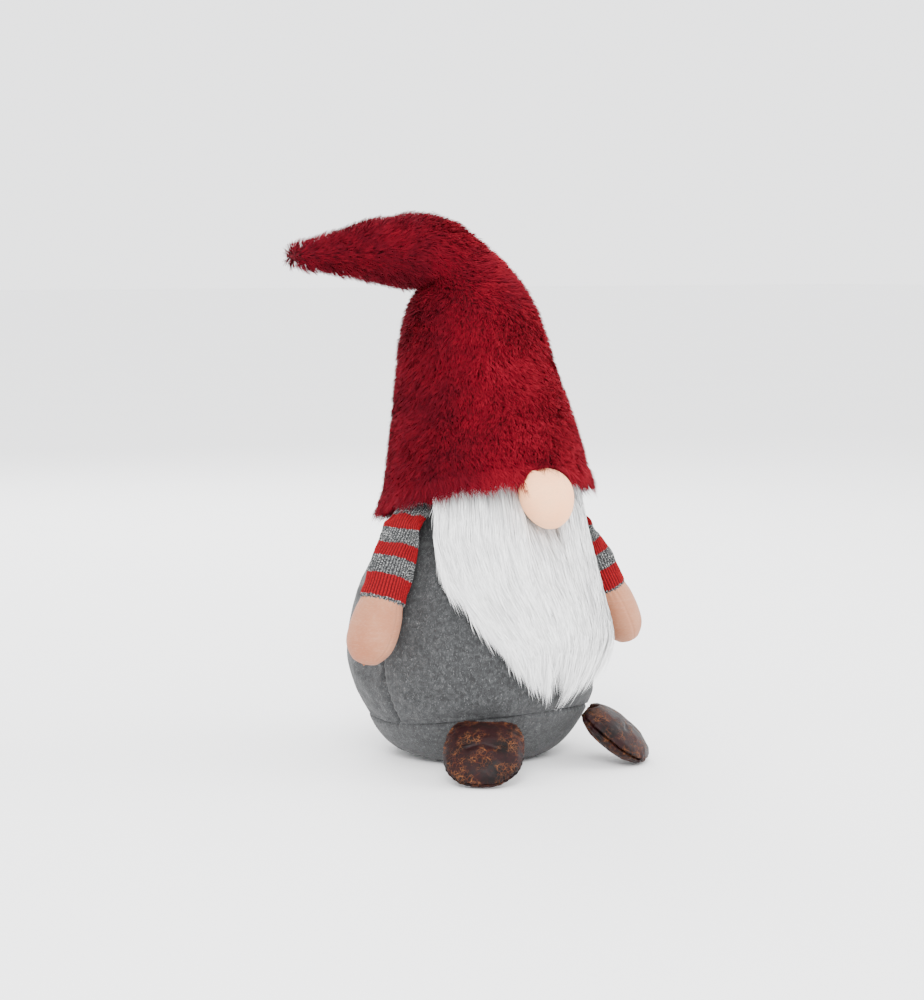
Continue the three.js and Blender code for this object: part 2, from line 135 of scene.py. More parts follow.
# Nose
NOSE_CENTRE = np.array([0.0, -91.0, 212.0])
NOSE_HALF = np.array([22.5, 22.0, 25.0])
NOSE_BACK = -74
JERSEY = 1.0
NOSE_DRAWN_IN = 1.2  # the jersey starts this much inside its final shape, and swells
NOSE_NARROWER = 0.14  # its lower end is narrower than its middle by this share
NOSE_LEAN = 3.0  # and set this far towards the gnome's left, as its upper end is towards the right

# Beard: how far round the front it reaches at each height, as [height, degrees to the gnome's
# right, degrees to its left]. It hangs longer and fuller on the left.
BEARD_EDGE = [
    [230, 58, 60], [212, 60, 64], [180, 57, 65], [148, 46, 65], [125, 34, 62],
    [100, 22, 54], [80, 15, 42], [62, 9, 28], [46, 2, 16], [34, -2, 10],
]
BEARD_ROOTS_END = 100  # the backing ends here, and the strands hang on below it
BEARD_TOP = 228
BEARD_NEAR = 3  # how far off the body its innermost strands stand
BEARD_STANDS_OFF = 14  # and its outermost
BEARD_BACKING = 1.5
BACKING_BELOW_ROOTS = 4
BEARD_LAYERS = 4
BEARD_STRANDS = 11000  # in each layer
BEARD_ROOT_OFF = 2.6
LOCK = 0.09  # width of a lock, as a share of the beard's half width
LOCK_HEIGHT = 16
LOCK_LONG = 50  # length of the shortest locks, before each strand's own share of it
LOCK_LONGER = 56  # how much longer the longest are
BEARD_LOWEST = 36  # no strand hangs lower than this
BEHIND_NOSE = {"angle": 0.2, "above": 196, "moved_below": 190}  # no strands are rooted there
BEARD_TAPER = np.array([0.9, 1, 1, 1, 1, 0.95, 0.85, 0.7, 0.45, 0.0])  # width at each station
BEARD_STRAND_WIDTH = 0.5

# Arms: half outlines as [radius, distance down the arm].
SHOULDER_RADIUS = {"right": 87, "left": 89}
SHOULDER_HEIGHT = {"right": 188, "left": 181}
ARM_FORWARD = math.radians(13)
ARM_SPREAD = {"right": math.radians(23.5), "left": math.radians(25)}
SLEEVE_OUTLINE = [[15, -24], [17, -12], [17.8, 2], [18.1, 16], [18.2, 33], [18.5, 50], [18.8, 61]]
HAND_OUTLINE = [
    [17.4, 57], [18.2, 61.6], [20.3, 71], [21, 83], [19.2, 96], [13, 105], [6, 109.2], [0.4, 110],
]
SHOULDER_THINNESS = 0.5
ARM_THICKNESS = 0.84
ARM_TAPER = 35
SLEEVE_TUCK = 10  # the top of a sleeve leans in this far, under the brim
SLEEVE_TOP_THINNER = 0.2
SLEEVE_START, SLEEVE_END = SLEEVE_OUTLINE[0][1], SLEEVE_OUTLINE[-1][1]
SLEEVE_TURNS = (-12, 14)  # distances down the arm
RED_STRIPES = [(-30, -19.3), (-9.2, 1.5), (15, 26.5), (40.5, 57.6)]  # distances down the arm
KNIT = 1.2
RIB_PITCH = 2.6
RIB_HEIGHT = 0.42
SLEEVE_RADIUS = 17  # roughly, for the number of ribs
RIBS = round(TAU * SLEEVE_RADIUS / RIB_PITCH)
COLUMNS_PER_RIB = 8
HAND_ROUND = 120  # roughly, the distance round a hand
HAND_GATHERS = 26

# Shoes
SHOE_PLACE = math.radians(31)
SHOE_TURN_OUT = math.radians(42)
SHOE_SLOPE = math.radians(38)
SHOE_ROOT_RADIUS = 93
SHOE_ROOT_HEIGHT = 41.5
SHOE_HALF = np.array([31.0, 31.0, 13.0])
ROOT_SQUARENESS = 0.32
TOE_SQUARENESS = 0.1
SHOE_ACROSS = 62  # roughly, from the middle of the sole round the edge to that of the upper
SHOE_PUCKERS = 34
LEATHER = 1.2
POLE_GAP = 0.03  # how far short of its poles a rounded skin ends, as an angle

# Cloth that swells between its seams
CLOTH_FRAMES = 20
CLOTH_SETTINGS = {
    "quality": 6,
    "mass": 0.2,
    "tension_stiffness": 25,
    "compression_stiffness": 25,
    "shear_stiffness": 8,
    "bending_stiffness": 1.5,
    "use_pressure": True,
    "uniform_pressure_force": 4.0,
    "vertex_group_mass": "held",
}

# Stage, in metres. The camera stands towards the gnome's right and looks a little down.
CAMERA_TURN = math.radians(-35)
CAMERA_DOWN = math.radians(6)
CAMERA_DISTANCE = 1.8
CAMERA_TARGET = Vector((-0.0105, 0.0073, 0.203))
CAMERA_LENS = 81
LIGHTS = {  # place, target, size and power
    "key": [(-1.5, -1.9, 1.9), (0, 0, 0.2), 1.3, 98],
    "fill": [(1.9, -1.2, 1.1), (0, 0, 0.2), 1.6, 40],
    "back": [(0.6, 1.9, 1.6), (0, 0, 0.25), 1.4, 50],
}
WORLD_COLOUR = (0.97, 0.975, 0.99, 1)
WORLD_STRENGTH = 2.8
FLOOR_HALF = 30000  # in millimetres

# Colours, as the sRGB values that they look like.
RED_PLUSH = [(72, 4, 18), (86, 5, 20), (99, 5, 22), (112, 7, 24), (126, 13, 31)]
WHITE_FUR = [(204, 204, 206), (226, 226, 227), (240, 240, 240), (249, 249, 248)]
NOSE_PEACH = [(255, 192, 144), (254, 178, 128)]
HAND_PEACH = [(164, 112, 84), (150, 94, 68)]
PLUSH_BACKING = [(110, 14, 30), (66, 8, 18)]
BEARD_CLOTH = [(216, 214, 208), (176, 174, 168)]
POUCH_CLOTH = [(206, 198, 178), (160, 152, 132)]


# ---------- numbers ----------
def srgb(red, green, blue):
    """Linear colour of 0-255 sRGB values."""
    def linear(value):
        share = value / 255
        return share / 12.92 if share <= 0.04045 else ((share + 0.055) / 1.055) ** 2.4
    return (linear(red), linear(green), linear(blue), 1.0)


def smoothstep(value, low, high):
    share = np.clip((value - low) / (high - low), 0, 1)
    return share * share * (3 - 2 * share)


def through(points, shares):
    """Places on the smooth curve through some points, at shares from 0 to 1 of the way."""
    points = np.asarray(points, float)
    along = np.clip(np.asarray(shares, float), 0, 1) * (len(points) - 1)
    at = np.minimum(along.astype(int), len(points) - 2)
    t = (along - at)[:, None]
    a, b = points[np.maximum(at - 1, 0)], points[at]
    c, d = points[at + 1], points[np.minimum(at + 2, len(points) - 1)]
    squared = 2 * a - 5 * b + 4 * c - d
    cubed = 3 * b - a - 3 * c + d
    return 0.5 * (2 * b + (c - a) * t + squared * t**2 + cubed * t**3)


def unit(vectors):
    return vectors / np.maximum(np.linalg.norm(vectors, axis=-1, keepdims=True), 1e-9)


def hashed(cells, seed):
    """A number from 0 to 1 for each integer cell, always the same one."""
    x, y, z = np.moveaxis(cells.astype(np.int64), -1, 0)
    mixed = x * 73856093 ^ y * 19349663 ^ z * 83492791 ^ seed * 2654435761
    mixed = (mixed ^ (mixed >> 13)) * 1274126177
    return ((mixed ^ (mixed >> 16)) & 0xFFFFFF) / 0xFFFFFF


def noise(points, size, seed=0):
    """Smooth noise from -1 to 1 with features of a size in millimetres."""
    scaled = np.asarray(points, float) / size
    cell = np.floor(scaled)
    t = scaled - cell
    t = t * t * (3 - 2 * t)
    total = 0
    for corner in np.ndindex(2, 2, 2):
        weight = np.prod(np.where(corner, t, 1 - t), axis=-1)
        total = total + weight * hashed(cell + corner, seed)
    return 2 * total - 1


def seam_profile(distance, groove, width, lip, lip_at, lip_width):
    """Height beside a seam: a sewn groove with a soft lip along it."""
    lips = lip * np.exp(-(((distance - lip_at) / lip_width) ** 2))
    return -groove * np.exp(-((distance / width) ** 2)) + lips


def turn_z(points, angle):
    c, s = math.cos(angle), math.sin(angle)
    return points @ np.array([[c, s, 0], [-s, c, 0], [0, 0, 1]])


def turn_y(points, angle):
    c, s = math.cos(angle), math.sin(angle)
    return points @ np.array([[c, 0, -s], [0, 1, 0], [s, 0, c]])


def turn_x(points, angle):
    c, s = math.cos(angle), math.sin(angle)
    return points @ np.array([[1, 0, 0], [0, c, s], [0, -s, c]])


# ---------- grids: rows x columns x 3, closed round their columns ----------
def normals(grid, closed=True):
    """Outward direction at each point of a grid whose columns run anticlockwise seen from above."""
    down = np.gradient(grid, axis=0)
    if closed:
        round_ = np.roll(grid, -1, axis=1) - np.roll(grid, 1, axis=1)
    else:
        round_ = np.gradient(grid, axis=1)
    return unit(np.cross(round_, down))


def resample(grid, rows, columns):
    """A finer copy of a closed grid, at shares of its rows and of the way round."""
    count = grid.shape[1]
    tall = through(grid.reshape(len(grid), -1), rows).reshape(len(rows), count, 3)
    wrapped = np.concatenate([tall[:, -1:], tall, tall[:, :2]], axis=1)
    turned = wrapped.transpose(1, 0, 2).reshape(count + 3, -1)
    places = (np.asarray(columns) * count + 1) / (count + 2)
    return through(turned, places).reshape(len(columns), len(rows), 3).transpose(1, 0, 2)


def crowded(count, places, offsets):
    """Even shares from 0 to 1 with more of them round some places."""
    extra = [place + sign * offset for place in places for offset in offsets for sign in (-1, 1)]
    shares = np.concatenate([np.linspace(0, 1, count), places, extra])
    shares = np.unique(np.round(np.clip(shares, 0, 1), 6))
    keep = np.concatenate([[True], np.diff(shares) > offsets[0] * 0.4])
    return shares[keep]


def grid_faces(rows, columns, closed):
    """Corner numbers of the quads between rows and columns."""
    wide = columns if closed else columns - 1
    r, c = np.meshgrid(np.arange(rows - 1), np.arange(wide), indexing="ij")
    right = (c + 1) % columns
    quads = [r * columns + c, r * columns + right, (r + 1) * columns + right, (r + 1) * columns + c]
    return np.stack(quads, axis=-1).reshape(-1, 4)


# ---------- meshes ----------
def fast_mesh(name, points, quads, triangles=(), slots=None, uvs=None):
    """A mesh object from arrays in millimetres. slots holds a material number for each face."""
    quads = np.asarray(quads, np.int32).reshape(-1, 4)
    triangles = np.asarray(triangles, np.int32).reshape(-1, 3)
    corners = np.concatenate([quads.ravel(), triangles.ravel()])
    sizes = np.concatenate([np.full(len(quads), 4), np.full(len(triangles), 3)])
    mesh = bpy.data.meshes.new(name)
    mesh.vertices.add(len(points))
    mesh.vertices.foreach_set("co", (np.asarray(points) * MM).astype(np.float32).ravel())
    mesh.loops.add(len(corners))
    mesh.loops.foreach_set("vertex_index", corners)
    mesh.polygons.add(len(sizes))
    mesh.polygons.foreach_set("loop_start", np.concatenate([[0], np.cumsum(sizes)[:-1]]))
    mesh.update(calc_edges=True)
    mesh.polygons.foreach_set("use_smooth", np.ones(len(sizes), bool))
    if slots is not None:
        mesh.polygons.foreach_set("material_index", np.asarray(slots, np.int32))
    if uvs is not None:
        layer = mesh.uv_layers.new(name="cloth")
        layer.data.foreach_set("uv", np.asarray(uvs, np.float32)[corners].ravel())
    mesh.validate()
    piece = bpy.data.objects.new(name, mesh)
    bpy.context.scene.collection.objects.link(piece)
    return piece


def skin(name, grid, thickness, closed, rows, columns, ends=(False, False)):
    """A closed shell of cloth inside a grid. Where an end is True, the grid ends in a point there.

    rows and columns are the shares of the way along and round, which give each point its place on
    the cloth.
    """
    height, width = grid.shape[:2]
    inner = grid - thickness * normals(grid, closed)
    count = height * width
    outside = grid_faces(height, width, closed)
    inside = outside[:, ::-1] + count
    quads = [outside, inside]
    wide = width if closed else width - 1
    c = np.arange(wide)
    right = (c + 1) % width
    for row, ended, flip in ((0, ends[0], False), (height - 1, ends[1], True)):
        first = row * width
        rim = np.stack([first + c, first + c + count, first + right + count, first + right], axis=-1)
        if not ended:
            quads.append(rim[:, ::-1] if flip else rim)
    if not closed:
        r = np.arange(height - 1)
        for column, flip in ((0, True), (width - 1, False)):
            a, b = r * width + column, (r + 1) * width + column
            rim = np.stack([a, a + count, b + count, b], axis=-1)
            quads.append(rim[:, ::-1] if flip else rim)
    triangles = []
    points = [grid.reshape(-1, 3), inner.reshape(-1, 3)]
    total = 2 * count
    across, along = np.meshgrid(columns, rows)
    uv = np.stack([across, along], axis=-1).reshape(-1, 2)
    uvs = [uv, uv]
    for row, ended, flip in ((0, ends[0], False), (height - 1, ends[1], True)):
        if not ended:
            continue
        for layer, inward in ((grid, False), (inner, True)):
            points.append(layer[row].mean(axis=0, keepdims=True))
            uvs.append(np.array([[0.5, rows[row]]]))
            first = row * width + (count if inward else 0)
            fan = np.stack([np.full(wide, total), first + right, first + c], axis=-1)
            triangles.append(fan[:, ::-1] if flip != inward else fan)
            total += 1
    triangles = np.concatenate(triangles) if triangles else ()
    points, quads, uvs = (np.concatenate(part) for part in (points, quads, uvs))
    return fast_mesh(name, points, quads, triangles, uvs=uvs)


def inflate(grid, pinned, cap, slack):
    """Swells a closed skin with Blender's cloth, held at its seams. Returns the moved grid.

    cap is the furthest that a point may move. slack is how much longer the cloth is than its skin.
    """
    height, width = grid.shape[:2]
    count = height * width
    middles = [grid[end].mean(0, keepdims=True) for end in (0, -1)]
    points = np.concatenate([grid.reshape(-1, 3)] + middles)
    c = np.arange(width)
    right = (c + 1) % width
    last = (height - 1) * width
    fans = [
        np.stack([np.full(width, count), right, c], axis=-1),
        np.stack([np.full(width, count + 1), last + c, last + right], axis=-1),
    ]
    body = fast_mesh("inflating", points, grid_faces(height, width, True), np.concatenate(fans))
    held = body.vertex_groups.new(name="held")
    numbers = np.flatnonzero(np.concatenate([pinned.ravel(), [True, True]]))
    held.add([int(n) for n in numbers], 1.0, "REPLACE")
    cloth = body.modifiers.new("cloth", "CLOTH")
    for setting, value in CLOTH_SETTINGS.items():
        setattr(cloth.settings, setting, value)
    cloth.settings.shrink_min = -slack
    cloth.settings.effector_weights.gravity = 0
    scene = bpy.context.scene
    for number in range(1, CLOTH_FRAMES + 1):
        scene.frame_set(number)
    seen = body.evaluated_get(bpy.context.evaluated_depsgraph_get())
    moved = np.zeros(len(points) * 3, np.float32)
    seen.data.vertices.foreach_get("co", moved)
    moved = moved.reshape(-1, 3)[:count].reshape(height, width, 3) / MM
    mesh = body.data
    bpy.data.objects.remove(body)
    bpy.data.meshes.remove(mesh)
    scene.frame_set(1)
    step = moved - grid
    far = np.linalg.norm(step, axis=-1, keepdims=True)
    return grid + step * np.minimum(1, cap / np.maximum(far, 1e-6))


def round_shares(count):
    """Even shares of the way round, without the last, which is the first again."""
    return np.arange(count) / count


def stuffed(coarse, held_rows, rows, columns, cap, slack):
    """A coarse closed skin, swelled between the rows where it is held, and resampled finely."""
    pinned = np.zeros(coarse.shape[:2], bool)
    pinned[held_rows] = True
    return resample(inflate(coarse, pinned, cap, slack), rows, columns)


# ---------- strands ----------
def ribbons(name, paths, widths, sides, slots, materials, facing):
    """Many flat strands as one mesh. paths is strands x stations x 3, and each strand ends in a point.

    slots gives each strand's shade. materials holds each shade's root material and then its tip
    material. facing is the direction that the strand is lit from at each station.
    """
    count, stations = paths.shape[:2]
    left = paths - sides * widths[..., None] / 2
    right = paths + sides * widths[..., None] / 2
    pairs = np.stack([left[:, :-1], right[:, :-1]], axis=2).reshape(count, -1, 3)
    points = np.concatenate([pairs, paths[:, -1:]], axis=1)
    each = points.shape[1]
    first = (np.arange(count) * each)[:, None]
    rung = np.arange(stations - 2)[None] * 2
    quads = np.stack([first + rung + corner for corner in (0, 1, 3, 2)], axis=-1).reshape(-1, 4)
    top = first[:, 0] + 2 * (stations - 2)
    triangles = np.stack([top, top + 1, top + 2], axis=-1)
    # Faces in the root half of each strand take the darker root material, which is painted shade.
    tipward = (np.arange(stations - 2) >= (stations - 2) / 2).astype(int)
    quad_slots = (slots[:, None] * 2 + tipward[None]).ravel()
    face_slots = np.concatenate([quad_slots, slots * 2 + 1])
    piece = fast_mesh(name, points.reshape(-1, 3), quads, triangles, slots=face_slots)
    for material in materials:
        piece.data.materials.append(material)
    doubled = np.repeat(facing[:, :-1], 2, axis=1)
    lit = np.concatenate([doubled, facing[:, -1:]], axis=1).reshape(-1, 3)
    piece.data.normals_split_custom_set_from_vertices(unit(lit).tolist())
    return piece


def scattered(area, count, random):
    """Random cells of a grid of areas, in proportion to their area, with a place inside each."""
    chances = np.cumsum(area.ravel())
    cells = np.searchsorted(chances, random.random(count) * chances[-1])
    cells = np.minimum(cells, area.size - 1)
    row, column = np.unravel_index(cells, area.shape)
    return (row + random.random(count)) / area.shape[0], (column + random.random(count)) / area.shape[1]


# ---------- materials ----------
class Surface:
    """A material with one Principled shader. Its constants are set on the shader itself."""

    def __init__(self, name, **constants):
        self.material = bpy.data.materials.new(name)
        self.material.use_nodes = True
        self.tree = self.material.node_tree
        self.shader = self.tree.nodes["Principled BSDF"]
        for socket, value in constants.items():
            self.shader.inputs[socket.replace("_", " ")].default_value = value

    def put(self, value, socket):
        """Sets a socket to a number or a colour, or links it to the output of another node."""
        if isinstance(value, bpy.types.NodeSocket):
            self.tree.links.new(value, socket)
        else:
            socket.default_value = value

    def add(self, kind, settings=None, **inputs):
        """A node. Each input is a number, a colour, or the output of another node."""
        node = self.tree.nodes.new("ShaderNode" + kind)
        for key, value in (settings or {}).items():
            setattr(node, key, value)
        for socket, value in inputs.items():
            self.put(value, node.inputs[socket.replace("_", " ")])
        return node

    def maths(self, operation, first, second=0.0, kind="Math"):
        node = self.add(kind, {"operation": operation})
        for socket, value in zip(node.inputs, (first, second)):
            self.put(value, socket)
        return node.outputs[0]

    def times(self, first, second):
        return self.maths("MULTIPLY", first, second)

    def place(self):
        return self.add("TexCoord").outputs["Object"]

    def cloth(self):
        return self.add("UVMap", {"uv_map": "cloth"}).outputs["UV"]

    def noise(self, scale, vector=None, detail=2.0, roughness=0.5, distortion=0.0):
        vector = vector or self.place()
        node = self.add(
            "TexNoise", Vector=vector, Scale=scale, Detail=detail, Roughness=roughness,
            Distortion=distortion,
        )
        return node.outputs["Fac"]

    def stretched(self, vector, by, turned=(0, 0, 0)):
        node = self.add("Mapping", Vector=vector, Scale=by, Rotation=turned)
        return node.outputs["Vector"]

    def ramp(self, share, stops):
        """A colour for each share. stops are (share, sRGB colour)."""
        node = self.add("ValToRGB", Fac=share)
        ramp = node.color_ramp
        while len(ramp.elements) < len(stops):
            ramp.elements.new(0.5)
        for element, (place, colour) in zip(ramp.elements, stops):
            element.position = place
            element.color = srgb(*colour)
        return node.outputs["Color"]

    def grey_ramp(self, share, low, high):
        node = self.add("MapRange", {"clamp": True}, Value=share)
        node.inputs["From Min"].default_value = low
        node.inputs["From Max"].default_value = high
        return node.outputs["Result"]

    def mix(self, share, first, second):
        node = self.add("Mix", {"data_type": "RGBA"})
        sockets = [s for s in node.inputs if s.type == "RGBA"]
        self.put(share, node.inputs["Factor"])
        for socket, value in zip(sockets, (first, second)):
            self.put(srgb(*value) if isinstance(value, tuple) else value, socket)
        return next(s for s in node.outputs if s.type == "RGBA")

    def colour(self, output):
        self.put(output, self.shader.inputs["Base Color"])

    def roughness(self, output):
        self.put(output, self.shader.inputs["Roughness"])

    def bump(self, heights):
        """Raises the surface: heights are (height output, distance in metres, strength)."""
        normal = None
        for height, distance, strength in heights:
            node = self.add("Bump", Height=height, Distance=distance, Strength=strength)
            if normal is not None:
                self.put(normal, node.inputs["Normal"])
            normal = node.outputs["Normal"]
        self.put(normal, self.shader.inputs["Normal"])


def felt_material():
    """Grey melange felt: matted dark and pale fibres in soft clouds."""
    s = Surface("felt_grey", Roughness=0.95, Sheen_Weight=0.08, Sheen_Roughness=0.6)
    clouds = s.noise(260, detail=3, roughness=0.62, distortion=0.6)
    greys = [(0.32, (26, 26, 27)), (0.46, (36, 37, 38)), (0.58, (47, 48, 49)), (0.72, (62, 63, 63))]
    tone = s.ramp(clouds, greys)
    fibre_run = s.stretched(s.place(), (1.0, 1.0, 0.35), (0.4, 0.3, 0.5))
    pale = s.grey_ramp(s.noise(1500, fibre_run, detail=2, roughness=0.7, distortion=1.5), 0.60, 0.72)
    dark_run = s.stretched(s.place(), (0.4, 1.0, 1.0), (0.2, 0.9, 0.3))
    dark = s.grey_ramp(s.noise(1300, dark_run, detail=2, roughness=0.7, distortion=1.5), 0.60, 0.74)
    with_pale = s.mix(s.times(pale, 0.55), tone, (148, 149, 149))
    s.colour(s.mix(s.times(dark, 0.6), with_pale, (17, 18, 19)))
    s.bump([(s.noise(1100, detail=3, roughness=0.7), 0.0006, 0.5), (clouds, 0.0012, 0.3)])
    return s.material


def jersey_material(name, base, flushed):
    """Smooth peach jersey: fine rows of stitches, with a faint warmer bloom."""
    s = Surface(name, Roughness=0.9, Sheen_Weight=0.08, Sheen_Roughness=0.5, Specular_IOR_Level=0.2)
    bloom = s.noise(34, detail=2)
    soft = s.mix(s.grey_ramp(bloom, 0.35, 0.7), base, flushed)
    rows = s.stretched(s.place(), (0.35, 0.35, 1.0))
    knit = s.noise(1250, rows, detail=1.5, roughness=0.5)
    lines = s.noise(420, s.stretched(s.place(), (0.08, 0.08, 1.0)), detail=2)
    shaded = s.mix(s.times(s.grey_ramp(knit, 0.45, 0.75), 0.16), soft, (186, 150, 128))
    s.colour(s.mix(s.times(s.grey_ramp(lines, 0.55, 0.75), 0.10), shaded, (196, 160, 140)))
    s.bump([(knit, 0.0003, 0.35), (lines, 0.0004, 0.25)])
    return s.material


def knit_material(stripes, around):
    """Ribbed knit. stripes are (share of the way along the cloth where a red stripe starts, ends)."""
    s = Surface("knit_striped", Roughness=0.95, Specular_IOR_Level=0.2)
    uv = s.add("SeparateXYZ", Vector=s.cloth())
    across, along = uv.outputs["X"], uv.outputs["Y"]

    def stitches(round_, down, detail, roughness=0.5):
        """Noise with so many cells round the sleeve and down it."""
        place = s.add("CombineXYZ", X=s.times(across, round_), Y=s.times(along, down))
        return s.noise(1.0, place.outputs[0], detail=detail, roughness=roughness)

    stitch = stitches(around, 62.0, 1, 0.4)
    ragged = s.maths("ADD", along, s.times(s.maths("SUBTRACT", stitch, 0.5), 0.03))
    red = None
    for start, end in stripes:
        inside = s.times(s.maths("GREATER_THAN", ragged, start), s.maths("LESS_THAN", ragged, end))
        red = inside if red is None else s.maths("MAXIMUM", red, inside)
    rib = s.maths("COSINE", s.times(across, TAU * around))
    fleck = stitches(2.0 * around, 90.0, 3, 0.75)
    greys = [(0.36, (14, 15, 16)), (0.46, (46, 47, 49)), (0.54, (84, 85, 85)), (0.63, (170, 170, 168))]
    grey = s.ramp(fleck, greys)
    scarlet = s.ramp(fleck, [(0.28, (70, 1, 4)), (0.48, (114, 1, 10)), (0.72, (144, 6, 20))])
    yarn = s.mix(red, grey, scarlet)
    # Painted shade: the yarn is darkened in the valleys between the ribs, towards near black on the grey
    # and dark red on the red stripes.
    painted_rib_shade = s.times(s.grey_ramp(rib, 0.1, -0.9), 0.8)
    s.colour(s.mix(painted_rib_shade, yarn, s.mix(red, (20, 21, 22), (48, 1, 4))))
    s.bump([(stitches(2.0 * around, 70.0, 1), 0.0005, 0.6)])
    return s.material


def leather_material():
    """Distressed brown faux leather: dark patches, and a network of orange-tan cracks where worn."""
    s = Surface("leather_brown", Specular_IOR_Level=0.13)
    warp = s.add("TexNoise", Vector=s.place(), Scale=70, Detail=3)
    wander = s.add("VectorMath", {"operation": "SCALE"}, Vector=warp.outputs["Color"], Scale=0.007)
    crooked = s.maths("ADD", s.place(), wander.outputs[0], "VectorMath")

    def cracks(scale, width):
        cell = s.add("TexVoronoi", {"feature": "DISTANCE_TO_EDGE"}, Vector=crooked, Scale=scale)
        return s.grey_ramp(cell.outputs["Distance"], width, 0.0)

    worn = s.grey_ramp(s.noise(75, detail=3, roughness=0.6), 0.42, 0.58)
    fine_worn = s.grey_ramp(s.noise(160, detail=2), 0.44, 0.58)
    network = s.times(s.maths("MAXIMUM", cracks(130, 0.024), cracks(290, 0.034)), worn)
    hair = s.times(cracks(560, 0.05), s.times(fine_worn, worn))
    lines = s.maths("MAXIMUM", network, s.times(hair, 0.7))
    patch = s.noise(55, detail=4, roughness=0.6)
    base = s.ramp(patch, [(0.30, (5, 2, 2)), (0.45, (13, 4, 4)), (0.58, (28, 6, 7)), (0.72, (18, 6, 4))])
    tan = s.ramp(fine_worn, [(0.0, (92, 48, 28)), (1.0, (136, 84, 50))])
    s.colour(s.mix(s.times(lines, 0.9), base, tan))
    s.roughness(s.grey_ramp(s.maths("ADD", patch, lines), -0.4, 1.5))
    grain = s.noise(900, detail=3, roughness=0.6)
    uncracked = s.maths("SUBTRACT", 1.0, lines)
    s.bump([(uncracked, 0.0004, 0.5), (grain, 0.0002, 0.35), (s.noise(140, detail=2), 0.0012, 0.3)])
    return s.material


def backing_material(name, base, dark):
    """The knitted ground that pile stands on."""
    s = Surface(name, Roughness=1.0)
    loops = s.add("TexVoronoi", Vector=s.place(), Scale=900)
    s.colour(s.mix(s.grey_ramp(loops.outputs["Distance"], 0.2, 0.7), base, dark))
    s.bump([(loops.outputs["Distance"], 0.0004, 0.5)])
    return s.material


def woven_material(name, base, dark):
    s = Surface(name, Roughness=0.95)
    over = s.add("TexWave", {"bands_direction": "X"}, Vector=s.place(), Scale=500)
    under = s.add("TexWave", {"bands_direction": "Z"}, Vector=s.place(), Scale=500)
    threads = s.times(over.outputs["Fac"], under.outputs["Fac"])
    # Painted shade: the cloth takes its dark colour in the low gaps between raised threads.
    s.colour(s.mix(threads, dark, base))
    s.bump([(threads, 0.0003, 0.5)])
    return s.material


def pellet_material():
    s = Surface("pellet_plastic", Roughness=0.4)
    cell = s.add("TexVoronoi", Vector=s.place(), Scale=260)
    # Painted shade: each pellet darkens towards its edge, in the gaps between the raised pellets.
    s.colour(s.mix(s.grey_ramp(cell.outputs["Distance"], 0.2, 0.8), (208, 210, 212), (120, 122, 126)))
    s.bump([(s.maths("SUBTRACT", 1.0, cell.outputs["Distance"]), 0.003, 1.0)])
    return s.material


def wire_material():
    s = Surface("wire_coating", Roughness=0.45)
    s.colour(s.mix(s.grey_ramp(s.noise(400), 0.4, 0.7), (150, 152, 155), (112, 114, 118)))
    s.bump([(s.noise(1500), 0.0001, 0.3)])
    return s.material


def fibre_materials(name, shades, painted_root_shade, sheen):
    """Root and tip materials of each shade of fibre. Fibres are one colour along and across; the
    root material is that colour darkened, as painted shade down in the pile.
    """
    made = []
    for number, shade in enumerate(shades):
        # Painted shade: a root material is its tip's colour darkened, for the shade down in the pile.
        root = tuple(value * painted_root_shade for value in shade)
        for part, colour in (("root", root), ("tip", shade)):
            surface = Surface(
                f"{name}_{number}_{part}", Base_Color=srgb(*colour), Roughness=0.9,
                Sheen_Weight=sheen, Sheen_Roughness=0.5, Specular_IOR_Level=0.12,
                Sheen_Tint=srgb(*(min(255, value * 1.5) for value in shade)),
            )
            made.append(surface.material)
    return made


# ---------- body ----------
def settle(points):
    """The lean of the real figure: its belly sits back and its base seam rises at the front."""
    x, y, z = points[..., 0], points[..., 1], points[..., 2]
    radius = np.hypot(x, y)
    front = np.maximum(0, -y / np.maximum(radius, 1e-6)) ** 1.5
    lift = FRONT_LIFT * front * smoothstep(radius, FLAT_RADIUS, SEAM_RADIUS)
    lift = lift * (1 - smoothstep(z, SEAM_HEIGHT, LIFT_ENDS))
    bulge = BACK_BULGE * smoothstep(z, SEAM_HEIGHT, BULGE_FULL) * (1 - smoothstep(z, *BULGE_FADES))
    return np.stack([x, y + bulge, z + lift], axis=-1)


def from_front(radius, angle, height):
    """A point at an angle round from straight ahead, towards the gnome's left."""
    return np.stack([radius * np.sin(angle), -radius * np.cos(angle), height + 0 * angle], axis=-1)


DENSE = np.linspace(0, 1, 400)
BODY_LINE = through(BODY_OUTLINE, DENSE)


def body_place(angle, height, off):
    """A point a distance off the felt, at a real height."""
    angle, height = np.broadcast_arrays(np.asarray(angle, float), np.asarray(height, float))
    unsettled = height.copy()
    for _ in range(6):
        radius = np.interp(unsettled, BODY_LINE[:, 1], BODY_LINE[:, 0])
        moved = settle(from_front(radius, angle, unsettled))
        unsettled = unsettled + (height - moved[..., 2])
    slope = np.interp(unsettled, BODY_LINE[:, 1], np.gradient(BODY_LINE[:, 0], BODY_LINE[:, 1]))
    return settle(from_front(radius + off / np.sqrt(1 + slope**2), angle, unsettled))


